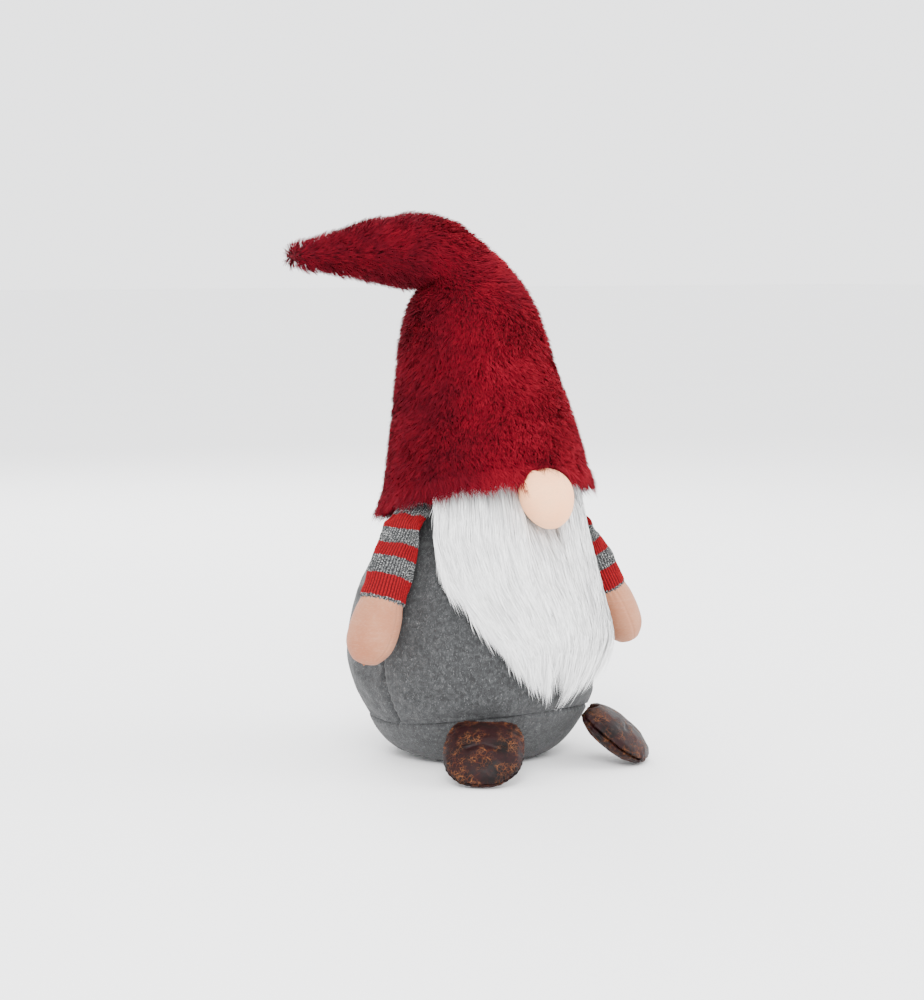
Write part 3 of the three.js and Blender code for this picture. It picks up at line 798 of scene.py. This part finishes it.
def build_body(felt):
    """Front, back and base panels of felt, puffed out between their seams."""
    base = [[r, 0.0] for r in BASE_RINGS[:-1]] + through(BASE_OUTLINE, np.linspace(0, 1, 7)).tolist()
    body = through(BODY_OUTLINE, np.linspace(0, 1, 28)).tolist()
    line = np.array(base + body[1:])
    seam_row = len(base) - 1
    drawn_in = BODY_DRAWN_IN * smoothstep(line[:, 0], FLAT_RADIUS, SEAM_RADIUS - 4)
    drawn_in[seam_row] = SEAM_DRAWN_IN
    angle = np.arange(BODY_COLUMNS) * TAU / BODY_COLUMNS
    radius = (line[:, 0] - drawn_in)[:, None] + 0 * angle
    grid = settle(from_front(radius, angle[None] + 0 * radius, line[:, 1:2] + 0 * angle))
    pinned = np.zeros(grid.shape[:2], bool)
    pinned[: len(BASE_RINGS)] = True
    pinned[seam_row] = True
    pinned[-2:] = True
    side_share = SIDE_SEAM / TAU
    seam_columns = [round(share * BODY_COLUMNS) for share in (side_share, 1 - side_share)]
    pinned[seam_row:, seam_columns] = True
    puffed = inflate(grid, pinned, cap=4.5, slack=0.02)
    puffed[..., 2] = np.maximum(puffed[..., 2], 0.0)

    seam_share = seam_row / (len(line) - 1)
    sides = [column / BODY_COLUMNS for column in seam_columns]
    close = [0.0011, 0.0022, 0.0036, 0.0055, 0.0085]
    rows = crowded(150, [seam_share], [offset * 1.6 for offset in close])
    columns = crowded(300, sides, close)[:-1]
    fine = resample(puffed, rows, columns)
    outward = normals(fine)
    height = fine[..., 2]
    from_base_seam = np.abs(rows - seam_share)[:, None] * BODY_LENGTH + 0 * columns
    share_to_side = np.min([np.abs(columns - side) for side in sides], axis=0)[None]
    to_side = share_to_side * TAU * BODY_MIDDLE_RADIUS
    to_side = np.where(rows[:, None] > seam_share, to_side, NO_SEAM)
    distance = np.minimum(from_base_seam, to_side)
    groove = seam_profile(distance, groove=1.2, width=1.7, lip=0.4, lip_at=4.2, lip_width=2.0)
    along_base_seam = columns[None] * BASE_SEAM_ROUND + 0 * height
    pucker_run = np.where(from_base_seam < to_side, along_base_seam, height)
    puckers = 0.35 * np.sin(pucker_run / BODY_SEAM_PUCKER * TAU + 2 * noise(fine, 18, 3))
    puckers = puckers * np.exp(-distance / 5)
    sag = 0.8 * noise(fine, 46, 5) + 0.35 * noise(fine, 15, 6)
    free = smoothstep(rows, 3.2 / len(line), 5 / len(line))[:, None]
    fine = fine + outward * ((groove + puckers + sag) * free)[..., None]
    above_brim = fine[..., 2] + BRIM_TILT * fine[..., 1] - BRIM_HEIGHT
    under_hat = smoothstep(above_brim, -8, 4) * smoothstep(fine[..., 1], -40, 20)
    fine[..., :2] *= 1 - (DRAWN_IN_UNDER_HAT * under_hat)[..., None]
    fine[..., 2] = np.maximum(fine[..., 2], 0.0)

    seam_at = int(np.argmin(np.abs(rows - seam_share)))
    base_piece = skin(
        "base_felt", fine[: seam_at + 1], FELT, True, rows[: seam_at + 1], columns, ends=(True, False),
    )
    left, right = (int(np.argmin(np.abs(columns - side))) for side in sides)
    upper = fine[seam_at:]
    behind = slice(left, right + 1)
    back_piece = skin("body_back_felt", upper[:, behind], FELT, False, rows[seam_at:], columns[behind])
    around = np.concatenate([np.arange(right, len(columns)), np.arange(0, left + 1)])
    front_piece = skin("body_front_felt", upper[:, around], FELT, False, rows[seam_at:], columns[around])
    stands_for = {
        base_piece: ["base_panel"],
        back_piece: ["body_back_panel"],
        front_piece: ["body_front_panel", "body_filling"],
    }
    for piece, nodes in stands_for.items():
        piece.data.materials.append(felt)
        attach(piece, "torso")
        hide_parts(*nodes)


# ---------- hat ----------
def hat_point(share, angle, inset):
    """A point on the hat at a share of the way from brim to tip, and an angle round it.

    Angle 0 is the side away from the tip, and a quarter turn on is the front.
    """
    shape = np.shape(share)
    table = through(HAT_SECTIONS, np.ravel(share))
    inner = table[:, 0:1] * TIP_DIRECTION + table[:, 1:2] * UP
    outer = table[:, 2:3] * TIP_DIRECTION + table[:, 3:4] * UP
    centre = (inner + outer) / 2
    half = (outer - inner) / 2
    length = np.linalg.norm(half, axis=1, keepdims=True)
    inset = np.ravel(inset + 0 * np.asarray(share, float))[:, None]
    half = half * np.maximum(length - inset, 1.2) / length
    across = ACROSS * np.maximum(table[:, 4:5] - inset, 1.2)
    angle = np.ravel(angle)[:, None]
    point = centre + half * np.cos(angle) + across * np.sin(angle)
    fade = 1 - smoothstep(point[:, 2], BRIM_HEIGHT, BRIM_HEIGHT + BRIM_TILT_REACH)
    point[:, 2] -= BRIM_TILT * point[:, 1] * fade
    point[:, 1] -= BRIM_FORWARD * fade
    return point.reshape(shape + (3,))


def hat_directions(share, angle, inset):
    """Outward and tipward directions at places on the hat."""
    step = 0.004
    before, after = (np.clip(share + sign * step, 0, 1) for sign in (-1, 1))
    along = hat_point(after, angle, inset) - hat_point(before, angle, inset)
    around = hat_point(share, angle + 0.05, inset) - hat_point(share, angle - 0.05, inset)
    tipward = unit(along)
    outward = unit(np.cross(tipward, unit(around)))
    centre = (hat_point(share, angle, inset) + hat_point(share, angle + math.pi, inset)) / 2
    facing = np.sum(outward * (hat_point(share, angle, inset) - centre), axis=-1, keepdims=True)
    return outward * np.sign(facing + 1e-9), tipward


def elbow_blend(piece):
    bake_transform(piece)


def clear_of_nose(points):
    """Points that would lie inside the nose, moved out to its surface."""
    half = NOSE_HALF + 0.8
    away = (points - NOSE_CENTRE) / half
    length = np.linalg.norm(away, axis=-1, keepdims=True)
    return np.where(length < 1, NOSE_CENTRE + away / np.maximum(length, 1e-6) * half, points)


def build_hat_backing(material):
    """The cloth under the pile: a front and a back panel, with a hem turned in at the brim."""
    shares = np.linspace(HAT_EDGE, 1, 110)
    made = []
    for name, first in (("hat_front_backing", 0.0), ("hat_back_backing", math.pi)):
        angles = np.linspace(first, first + math.pi, 61)[::-1]
        share, angle = np.meshgrid(shares, angles, indexing="ij")
        grid = hat_point(share, angle, PILE)
        hem = [hat_point(share[:1] + rise, angle[:1], PILE + depth) for rise, depth in HEM]
        grid = np.concatenate(hem + [grid])
        rows = np.linspace(0, 1, len(grid))
        piece = skin(name, grid, HAT_CLOTH, False, rows, np.linspace(0, 1, len(angles)))
        piece.data.materials.append(material)
        made.append(piece)
    return made


def pile_strands(name, count, seed, first_angle, share_range, materials, hang=0.0):
    """Part of the plush: short strands laid towards the brim, in little tufts.

    hang is 0 for the plush itself, and 1 for the longer and looser fringe along the brim.
    """
    random = np.random.default_rng(seed)
    low, high = share_range
    rows, columns = 120, 40
    share = low + (high - low) * (np.arange(rows)[:, None] + 0.5) / rows + np.zeros((1, columns))
    angle = first_angle + math.pi * (np.arange(columns)[None] + 0.5) / columns + np.zeros((rows, 1))
    across = hat_point(share, angle + 0.02, PILE) - hat_point(share, angle - 0.02, PILE)
    along = hat_point(share + 0.003, angle, PILE) - hat_point(share - 0.003, angle, PILE)
    area = np.linalg.norm(np.cross(across, along), axis=-1)
    row, column = scattered(area, count, random)
    share = low + (high - low) * row
    angle = first_angle + math.pi * column
    roots = hat_point(share, angle, PILE)
    outward, tipward = hat_directions(share, angle, PILE)

    # The nap lies towards the brim, wanders in patches, and stands up at the very tip.
    lay = smoothstep(share, 0.9, 1.0)[:, None] * 1.1 - 1
    sideways = unit(np.cross(outward, tipward))
    swirl = 0.75 * noise(roots, 34, 11) + 0.5 * noise(roots, 13, 12) + 0.25 * random.standard_normal(count)
    flow = tipward * lay * np.cos(swirl)[:, None] - sideways * lay * np.sin(swirl)[:, None]

    wobble = np.stack([noise(roots, 9, 20 + axis) for axis in range(3)], axis=-1) * TUFT_EDGE_WANDER
    cell = np.floor((roots + wobble) / TUFT)
    towards = (cell + 0.5) * TUFT - roots - wobble
    towards = towards - outward * np.sum(towards * outward, axis=-1, keepdims=True)
    tuft_turn = hashed(cell, 31) - 0.5
    tuft_length = 0.85 + 0.3 * hashed(cell, 32) + hang * 0.5 * (hashed(cell, 33) ** 2)

    t = PILE_STATIONS[None, :, None]
    tall = (PILE * tuft_length * random.uniform(0.8, 1.12, count))[:, None, None]
    reach = (PILE_LEAN * tuft_length * random.uniform(0.7, 1.2, count))[:, None, None]
    standing = 1 - hang * 0.05
    paths = roots[:, None] + outward[:, None] * tall * standing * (1 - (1 - t) ** 1.8)
    paths = paths + flow[:, None] * reach * (1 + hang * 0.8) * t**1.25
    paths = paths + TUFT_PULL * towards[:, None] * t**1.5
    paths = paths + (sideways * tuft_turn[:, None])[:, None] * (TUFT_TWIST + 2.5 * hang) * t**1.6
    paths = paths + random.standard_normal((count, 1, 3)) * STRAND_STRAY * t**2
    paths = paths + random.standard_normal((count, len(PILE_STATIONS), 3)) * STRAND_KINK * t

    paths = clear_of_nose(paths)
    run = unit(np.gradient(paths, axis=1))
    sides = unit(np.cross(run, outward[:, None]) + 0.5 * random.standard_normal((count, 1, 3)))
    widths = PILE_WIDTHS[None] * random.uniform(0.7, 1.2, (count, 1))
    flatwards = unit(outward[:, None] - run * np.sum(run * outward[:, None], axis=-1, keepdims=True))
    facing = 0.9 * outward[:, None] + 0.3 * flatwards + 0.22 * random.standard_normal((count, 1, 3))

    # Painted shade: the plush is made darker low on the side that the tip hangs towards, and all over the
    # bent tip. The rest of the tone varies at random, in patches and by tuft.
    towards_tip = roots @ TIP_DIRECTION
    painted_shade = smoothstep(towards_tip, 0, 55) * (1 - smoothstep(share, 0.45, 0.6))
    painted_shade = np.maximum(painted_shade, 1.1 * smoothstep(share, 0.52, 0.72))
    tone = 2.7 + 0.9 * noise(roots, 26, 41) + 0.5 * noise(roots, 8, 42) - 1.0 * painted_shade
    tone = tone + 0.7 * (hashed(cell, 43) - 0.5) + 0.35 * random.standard_normal(count)
    shades = np.clip(np.round(tone), 0, len(RED_PLUSH) - 1).astype(int)
    return ribbons(name, paths, widths, sides, shades, materials, facing)


def build_hat(backing, fibres):
    pieces = build_hat_backing(backing)
    few = 1.0
    for name, first_angle, seed in (("front", 0.0, 100), ("back", math.pi, 200)):
        for part in range(2):
            pieces.append(pile_strands(
                f"hat_{name}_pile_{part + 1}", int(PILE_STRANDS * few), seed + part, first_angle,
                (HAT_EDGE, 1.0), fibres,
            ))
        pieces.append(pile_strands(
            f"hat_{name}_brim_pile", int(BRIM_STRANDS * few), seed + 9, first_angle,
            BRIM_PILE, fibres, hang=1.0,
        ))
    for piece in pieces:
        elbow_blend(piece)
    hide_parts("hat_front_panel", "hat_tip_front_panel", "hat_filling", "hat_tip_filling")
    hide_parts("hat_back_panel", "hat_tip_back_panel")


# ---------- nose ----------
def build_nose(jersey):
    """An egg of stuffed jersey, gathered flat against the face."""
    half_x, half_y, half_z = NOSE_HALF - NOSE_DRAWN_IN
    back = math.asin((NOSE_CENTRE[1] - NOSE_BACK) / half_y)

    def egg(rows, columns):
        lifts = back + (math.pi / 2 - POLE_GAP - back) * rows
        lift, turn = np.meshgrid(lifts, columns * TAU, indexing="ij")
        low = np.cos(lift) * np.cos(turn)
        wide = half_x * np.cos(lift) * np.sin(turn) * (1 - NOSE_NARROWER * low)
        return np.stack([
            NOSE_CENTRE[0] + wide + NOSE_LEAN * low,
            NOSE_CENTRE[1] - half_y * np.sin(lift),
            NOSE_CENTRE[2] - half_z * np.cos(lift) * np.cos(turn),
        ], axis=-1)

    coarse = egg(np.linspace(0, 1, 16), round_shares(28))
    rows, columns = np.linspace(0, 1, 70), round_shares(120)
    fine = stuffed(coarse, [0, 1], rows, columns, cap=2.0, slack=0.0)
    fine = fine + normals(fine) * (0.25 * noise(fine, 14, 51))[..., None]
    piece = skin("nose", fine, JERSEY, True, rows, columns, ends=(True, True))
    piece.data.materials.append(jersey)
    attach(piece, "torso")
    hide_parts("nose_cover", "nose_filling")


# ---------- beard ----------
EDGE_HEIGHTS, EDGE_RIGHT, EDGE_LEFT = np.array(BEARD_EDGE, float)[::-1].T


def beard_angle(share, height):
    """Angle round the front at a share from -1, the right edge of the beard, to 1, its left edge."""
    right = -np.radians(np.interp(height, EDGE_HEIGHTS, EDGE_RIGHT))
    left = np.radians(np.interp(height, EDGE_HEIGHTS, EDGE_LEFT))
    return right + (left - right) * (share + 1) / 2


def build_beard_backing(cloth):
    """The knitted ground of the beard, laid on the body and sewn along its top."""
    rows, columns = np.linspace(0, 1, 70), np.linspace(0, 1, 60)
    heights = BEARD_ROOTS_END - BACKING_BELOW_ROOTS + (BEARD_TOP - BEARD_ROOTS_END) * rows
    height, share = np.meshgrid(heights, columns * 2 - 1, indexing="ij")
    grid = body_place(beard_angle(share * 0.98, height), height, 0.5 + BEARD_BACKING)
    piece = skin("beard_backing_cloth", grid, BEARD_BACKING, False, rows, columns)
    piece.data.materials.append(cloth)
    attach(piece, "torso")
    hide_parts("beard_backing")


def beard_strands(name, count, seed, layer, materials):
    """Long strands that hang down over the body, gathered into locks with wispy ends."""
    random = np.random.default_rng(seed)
    share = random.uniform(-1, 1, count)
    share = np.sign(share) * np.abs(share) ** 0.9
    root_height = BEARD_ROOTS_END + (BEARD_TOP - BEARD_ROOTS_END) * random.random(count) ** 0.9
    near_middle = np.abs(beard_angle(share, root_height)) < BEHIND_NOSE["angle"]
    behind_nose = near_middle & (root_height > BEHIND_NOSE["above"])
    moved = random.uniform(BEARD_ROOTS_END, BEHIND_NOSE["moved_below"], count)
    root_height = np.where(behind_nose, moved, root_height)

    wander = noise(np.stack([share * 40, root_height, 0 * share], -1), 30, 61)
    cell = np.stack([
        np.floor(share / LOCK + 0.9 * wander), np.floor(root_height / LOCK_HEIGHT), np.zeros(count),
    ], axis=-1)
    lock_share = np.clip((cell[:, 0] + 0.5) * LOCK, -1.02, 1.02)
    long = (LOCK_LONG + LOCK_LONGER * hashed(cell, 62)) * random.uniform(0.7, 1.08, count)
    long = long * (1 - 0.3 * share**2)
    column = cell * np.array([1.0, 0.0, 0.0])
    from_middle = np.abs(share - lock_share) / LOCK
    lowest = BEARD_LOWEST + 12 * np.abs(share) + 28 * hashed(column, 63) + 14 * hashed(cell, 63)
    lowest = lowest + 26 * from_middle + 16 * random.random(count)
    end_height = np.maximum(root_height - long, lowest)

    t = np.linspace(0, 1, len(BEARD_TAPER))[None]
    height = root_height[:, None] + (end_height - root_height)[:, None] * t
    gather = (0.5 + 0.4 * hashed(cell, 64))[:, None] * t**1.6
    place = share[:, None] + (lock_share - share)[:, None] * gather
    sway = math.radians(3.2) * (hashed(cell, 65) - 0.5)[:, None] * t**1.5
    own = math.radians(1.5) * random.standard_normal((count, 1)) * t**1.3
    waves = t * random.uniform(4, 10, (count, 1)) + random.uniform(0, TAU, (count, 1))
    ripple = math.radians(0.5) * np.sin(waves) * t
    plumb = (0.26 * hashed(cell, 69))[:, None] * smoothstep(t, 0.15, 1)
    angle = beard_angle(place, height) * (1 - plumb) + beard_angle(share, root_height)[:, None] * plumb
    angle = angle + sway + own + ripple
    low, high = layer
    stand = (low + (high - low) * random.random(count))[:, None]
    rise = 1 - (1 - np.minimum(t * 2.2, 1)) ** 2.0
    off = BEARD_ROOT_OFF + (stand - BEARD_ROOT_OFF) * rise - 0.35 * stand * t**2.5
    off = off + 0.8 * (hashed(cell, 66) - 0.5)[:, None] * t
    paths = body_place(angle, height, np.maximum(off, 1.4))

    run = unit(np.gradient(paths, axis=1))
    outward = unit(paths * np.array([1.0, 1.0, 0.0]))
    sides = unit(np.cross(run, outward) + 0.35 * random.standard_normal((count, 1, 3)))
    widths = BEARD_STRAND_WIDTH * BEARD_TAPER[None] * random.uniform(0.6, 1.2, (count, 1))
    flatwards = unit(outward - run * np.sum(run * outward, axis=-1, keepdims=True))
    facing = flatwards + 0.14 * random.standard_normal((count, 1, 3))
    facing = facing + 0.25 * (hashed(cell, 67) - 0.5)[:, None, None] * sides
    # Painted shade: strands that stand nearer the body, under the outer layers, get darker greys. The rest
    # of the tone varies at random, by lock and by strand.
    tone = 1.5 + 1.3 * (stand[:, 0] / BEARD_STANDS_OFF) + 0.6 * (hashed(cell, 68) - 0.5)
    tone = tone + 0.4 * random.standard_normal(count)
    shades = np.clip(np.round(tone), 0, len(WHITE_FUR) - 1).astype(int)
    piece = ribbons(name, paths, widths, sides, shades, materials, facing)
    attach(piece, "torso")
    return piece


def build_beard(cloth, fibres):
    build_beard_backing(cloth)
    few = 1.0
    layers = np.linspace(BEARD_NEAR, BEARD_STANDS_OFF, BEARD_LAYERS + 1)
    for number, (near, far) in enumerate(zip(layers, layers[1:])):
        name = f"beard_fur_{number + 1}"
        outermost = beard_strands(name, int(BEARD_STRANDS * few), 71 + number, (near, far + 1), fibres)
    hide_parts("beard_pile")


# ---------- arms ----------
def arm_place(points, side):
    """Takes points from the arm's own frame, hanging along -Z with X across, to the gnome's."""
    down = -points[..., 2]
    thickness = SHOULDER_THINNESS + (ARM_THICKNESS - SHOULDER_THINNESS) * smoothstep(down, 0, ARM_TAPER)
    thickness = thickness - SLEEVE_TOP_THINNER * smoothstep(-down, 0, -SLEEVE_OUTLINE[0][1])
    flat = points * np.stack([np.ones_like(thickness), thickness, np.ones_like(thickness)], axis=-1)
    hung = turn_y(turn_z(flat, math.pi / 2), -ARM_SPREAD[side])
    hung = hung + np.array([SHOULDER_RADIUS[side], 0, SHOULDER_HEIGHT[side]])
    hung[..., 0] -= SLEEVE_TUCK * smoothstep(points[..., 2], -2, -SLEEVE_OUTLINE[0][1])
    return turn_z(hung, -ARM_FORWARD if side == "left" else math.pi + ARM_FORWARD)


def hanging_line(outline, rows):
    """[radius, distance] at even shares of the distance down the arm."""
    dense = through(outline, DENSE)
    down = outline[0][1] + (outline[-1][1] - outline[0][1]) * rows
    return np.stack([np.interp(down, dense[:, 1], dense[:, 0]), down], axis=-1)


def hanging_grid(line, columns, side):
    radius = line[:, :1] + 0 * columns
    turn = columns[None] * TAU + 0 * radius
    points = np.stack([radius * np.sin(turn), radius * np.cos(turn), -line[:, 1:] + 0 * radius], axis=-1)
    return arm_place(points, side)


def build_sleeve(side, knit):
    """A ribbed sleeve, whose top leans in where it is sewn to the body."""
    line = hanging_line(SLEEVE_OUTLINE, np.linspace(0, 1, 24)) - [0.8, 0]
    coarse = hanging_grid(line, round_shares(28), side)
    rows, columns = np.linspace(0, 1, 110), round_shares(RIBS * COLUMNS_PER_RIB)
    fine = stuffed(coarse, [0, 1, 2, 3, -1], rows, columns, cap=1.6, slack=0.03)
    rib = RIB_HEIGHT * np.cos(columns * RIBS * TAU)[None]
    cuff = smoothstep(rows, 0.955, 1.0)[:, None]
    folds = 0.5 * noise(fine * [1, 1, 2.2], 15, 81)
    fine = fine + normals(fine) * (rib * (1 - 0.4 * cuff) + folds - 0.7 * cuff**2)[..., None]
    sleeve = skin(f"{side}_knit_sleeve", fine, KNIT, True, rows, columns, ends=(True, False))
    sleeve.data.materials.append(knit)
    start, end = (arm_place(np.array([0.0, 0.0, -down]), side) for down in SLEEVE_TURNS)
    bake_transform(sleeve)
    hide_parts(f"{side}_sleeve", f"{side}_arm_filling")


def build_hand(side, jersey):
    """A mitten, with a seam down each side and gathers where it meets the sleeve."""
    body = f"{side}_arm"
    line = hanging_line(HAND_OUTLINE, np.linspace(0, 1, 18) ** 0.75) - [0.3, 0]
    coarse = hanging_grid(line, round_shares(28), side)
    rows, columns = np.linspace(0, 1, 90), round_shares(160)
    fine = stuffed(coarse, [0, 1], rows, columns, cap=1.2, slack=0.01)
    to_seam = np.minimum(np.abs(columns - 0.25), np.abs(columns - 0.75)) * HAND_ROUND
    seam = -0.45 * np.exp(-((to_seam / 1.1) ** 2))[None]
    gathers = 0.35 * np.sin(columns * HAND_GATHERS * TAU)[None] * np.exp(-rows[:, None] * 14)
    fine = fine + normals(fine) * (seam + gathers + 0.3 * noise(fine, 13, 83))[..., None]
    hand = skin(f"{side}_mitten", fine, JERSEY, True, rows, columns, ends=(True, True))
    hand.data.materials.append(jersey)
    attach(hand, body)
    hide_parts(f"{side}_hand")


# ---------- shoes ----------
def shoe_place(points, side):
    """Takes points from the shoe's own frame, root to toe along +Y, to the gnome's."""
    sign = 1 if side == "left" else -1
    root = [
        sign * SHOE_ROOT_RADIUS * math.sin(SHOE_PLACE),
        -SHOE_ROOT_RADIUS * math.cos(SHOE_PLACE),
        SHOE_ROOT_HEIGHT,
    ]
    return turn_z(turn_x(points, -SHOE_SLOPE), math.pi + sign * SHOE_TURN_OUT) + root


def shoe_pad(rows, columns, drawn_in):
    """A pillow with one squared end. Rows run from under the sole to over the upper."""
    rise, turn = np.meshgrid((rows - 0.5) * (math.pi - 2 * POLE_GAP), columns * TAU, indexing="ij")
    pad = np.stack([np.cos(rise) * np.sin(turn), -np.cos(rise) * np.cos(turn), np.sin(rise)], axis=-1)
    ring = np.maximum(1 - pad[..., 1] ** 2, 1e-3)
    pad[..., 0] *= ring ** np.where(pad[..., 1] < 0, -ROOT_SQUARENESS, -TOE_SQUARENESS)
    pad = pad * (SHOE_HALF - drawn_in)
    pad[..., 1] += SHOE_HALF[1]
    return pad


def build_shoe(side, leather):
    coarse = shoe_pad(np.linspace(0, 1, 19), round_shares(44), 1.0)
    rows, columns = crowded(70, [0.5], [0.006, 0.013, 0.022, 0.035]), round_shares(200)
    fine = stuffed(coarse, [9], rows, columns, cap=2.6, slack=0.03)
    from_seam = np.abs(rows - 0.5)[:, None] * SHOE_ACROSS
    groove = seam_profile(from_seam, groove=1.3, width=0.9, lip=0.45, lip_at=2.6, lip_width=1.3)
    puckers = 0.4 * np.sin(columns * SHOE_PUCKERS * TAU + 3 * noise(fine, 16, 91))
    puckers = puckers * np.exp(-from_seam / 4.5)
    creases = -0.9 * np.abs(noise(fine * [1.0, 1.6, 1.0], 17, 92)) ** 0.7 + 0.4
    fine = fine + normals(fine) * (groove + puckers + creases)[..., None]
    fine = shoe_place(fine, side)
    fine[..., 2] = np.maximum(fine[..., 2], 0.2)
    middle = int(np.argmin(np.abs(rows - 0.5)))
    halves = {
        "sole": (fine[: middle + 1], rows[: middle + 1], (True, False)),
        "upper": (fine[middle:], rows[middle:], (False, True)),
    }
    for part, (grid, shares, ends) in halves.items():
        piece = skin(f"{side}_leather_{part}", grid, LEATHER, True, shares, columns, ends=ends)
        piece.data.materials.append(leather)
        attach(piece, f"{side}_shoe")
        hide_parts(f"{side}_shoe_{part}", *([f"{side}_shoe_filling"] if part == "sole" else []))


# ---------- stage ----------
def build_camera():
    camera = bpy.data.objects.new("camera", bpy.data.cameras.new("camera"))
    camera.data.lens = CAMERA_LENS
    away = Vector((
        math.sin(CAMERA_TURN) * math.cos(CAMERA_DOWN),
        -math.cos(CAMERA_TURN) * math.cos(CAMERA_DOWN),
        math.sin(CAMERA_DOWN),
    ))
    camera.location = CAMERA_TARGET + CAMERA_DISTANCE * away
    camera.rotation_euler = (-away).to_track_quat("-Z", "Y").to_euler()
    bpy.context.scene.collection.objects.link(camera)
    bpy.context.scene.camera = camera


def area_light(name, place, target, size, power):
    data = bpy.data.lights.new(name, "AREA")
    data.shape = "DISK"
    data.size = size
    data.energy = power
    light = bpy.data.objects.new(name, data)
    light.location = place
    light.rotation_euler = (Vector(target) - Vector(place)).to_track_quat("-Z", "Y").to_euler()
    bpy.context.scene.collection.objects.link(light)


def build_stage():
    corners = np.array([[-1, -1, 0], [1, -1, 0], [1, 1, 0], [-1, 1, 0]]) * FLOOR_HALF
    floor = fast_mesh("floor", corners, [[0, 1, 2, 3]])
    pale = Surface("floor_pale", Roughness=0.8)
    pale.colour(pale.mix(pale.noise(3), (245, 245, 245), (248, 248, 248)))
    floor.data.materials.append(pale.material)
    world = bpy.data.worlds.new("world")
    world.use_nodes = True
    background = world.node_tree.nodes["Background"]
    background.inputs["Color"].default_value = WORLD_COLOUR
    background.inputs["Strength"].default_value = WORLD_STRENGTH
    bpy.context.scene.world = world
    for name, settings in LIGHTS.items():
        area_light(name, *settings)


# ---------- the gnome ----------
build_camera()
build_stage()

felt = felt_material()
nose_jersey = jersey_material("jersey_nose", *NOSE_PEACH)
hand_jersey = jersey_material("jersey_hands", *HAND_PEACH)
sleeve_length = SLEEVE_END - SLEEVE_START
stripes = [tuple((d - SLEEVE_START) / sleeve_length for d in stripe) for stripe in RED_STRIPES]
knit = knit_material(stripes, RIBS)
leather = leather_material()

build_body(felt)
build_nose(nose_jersey)
for side in ("right", "left"):
    build_sleeve(side, knit)
    build_hand(side, hand_jersey)
    build_shoe(side, leather)
build_hat(
    backing_material("plush_backing", *PLUSH_BACKING),
    fibre_materials("plush_fibre", RED_PLUSH, 0.8, 0.35),
)
build_beard(
    backing_material("beard_backing", *BEARD_CLOTH),
    fibre_materials("beard_fibre", WHITE_FUR, 0.9, 0.3),
)
inner_materials = {
    "pellet_pouch": woven_material("pouch_cloth", *POUCH_CLOTH),
    "pellet_filling": pellet_material(),
    "hat_wire_upright": wire_material(),
    "hat_wire_tip": wire_material(),
}
for node, material in inner_materials.items():
    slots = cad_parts[node].data.materials
    slots.clear()
    slots.append(material)
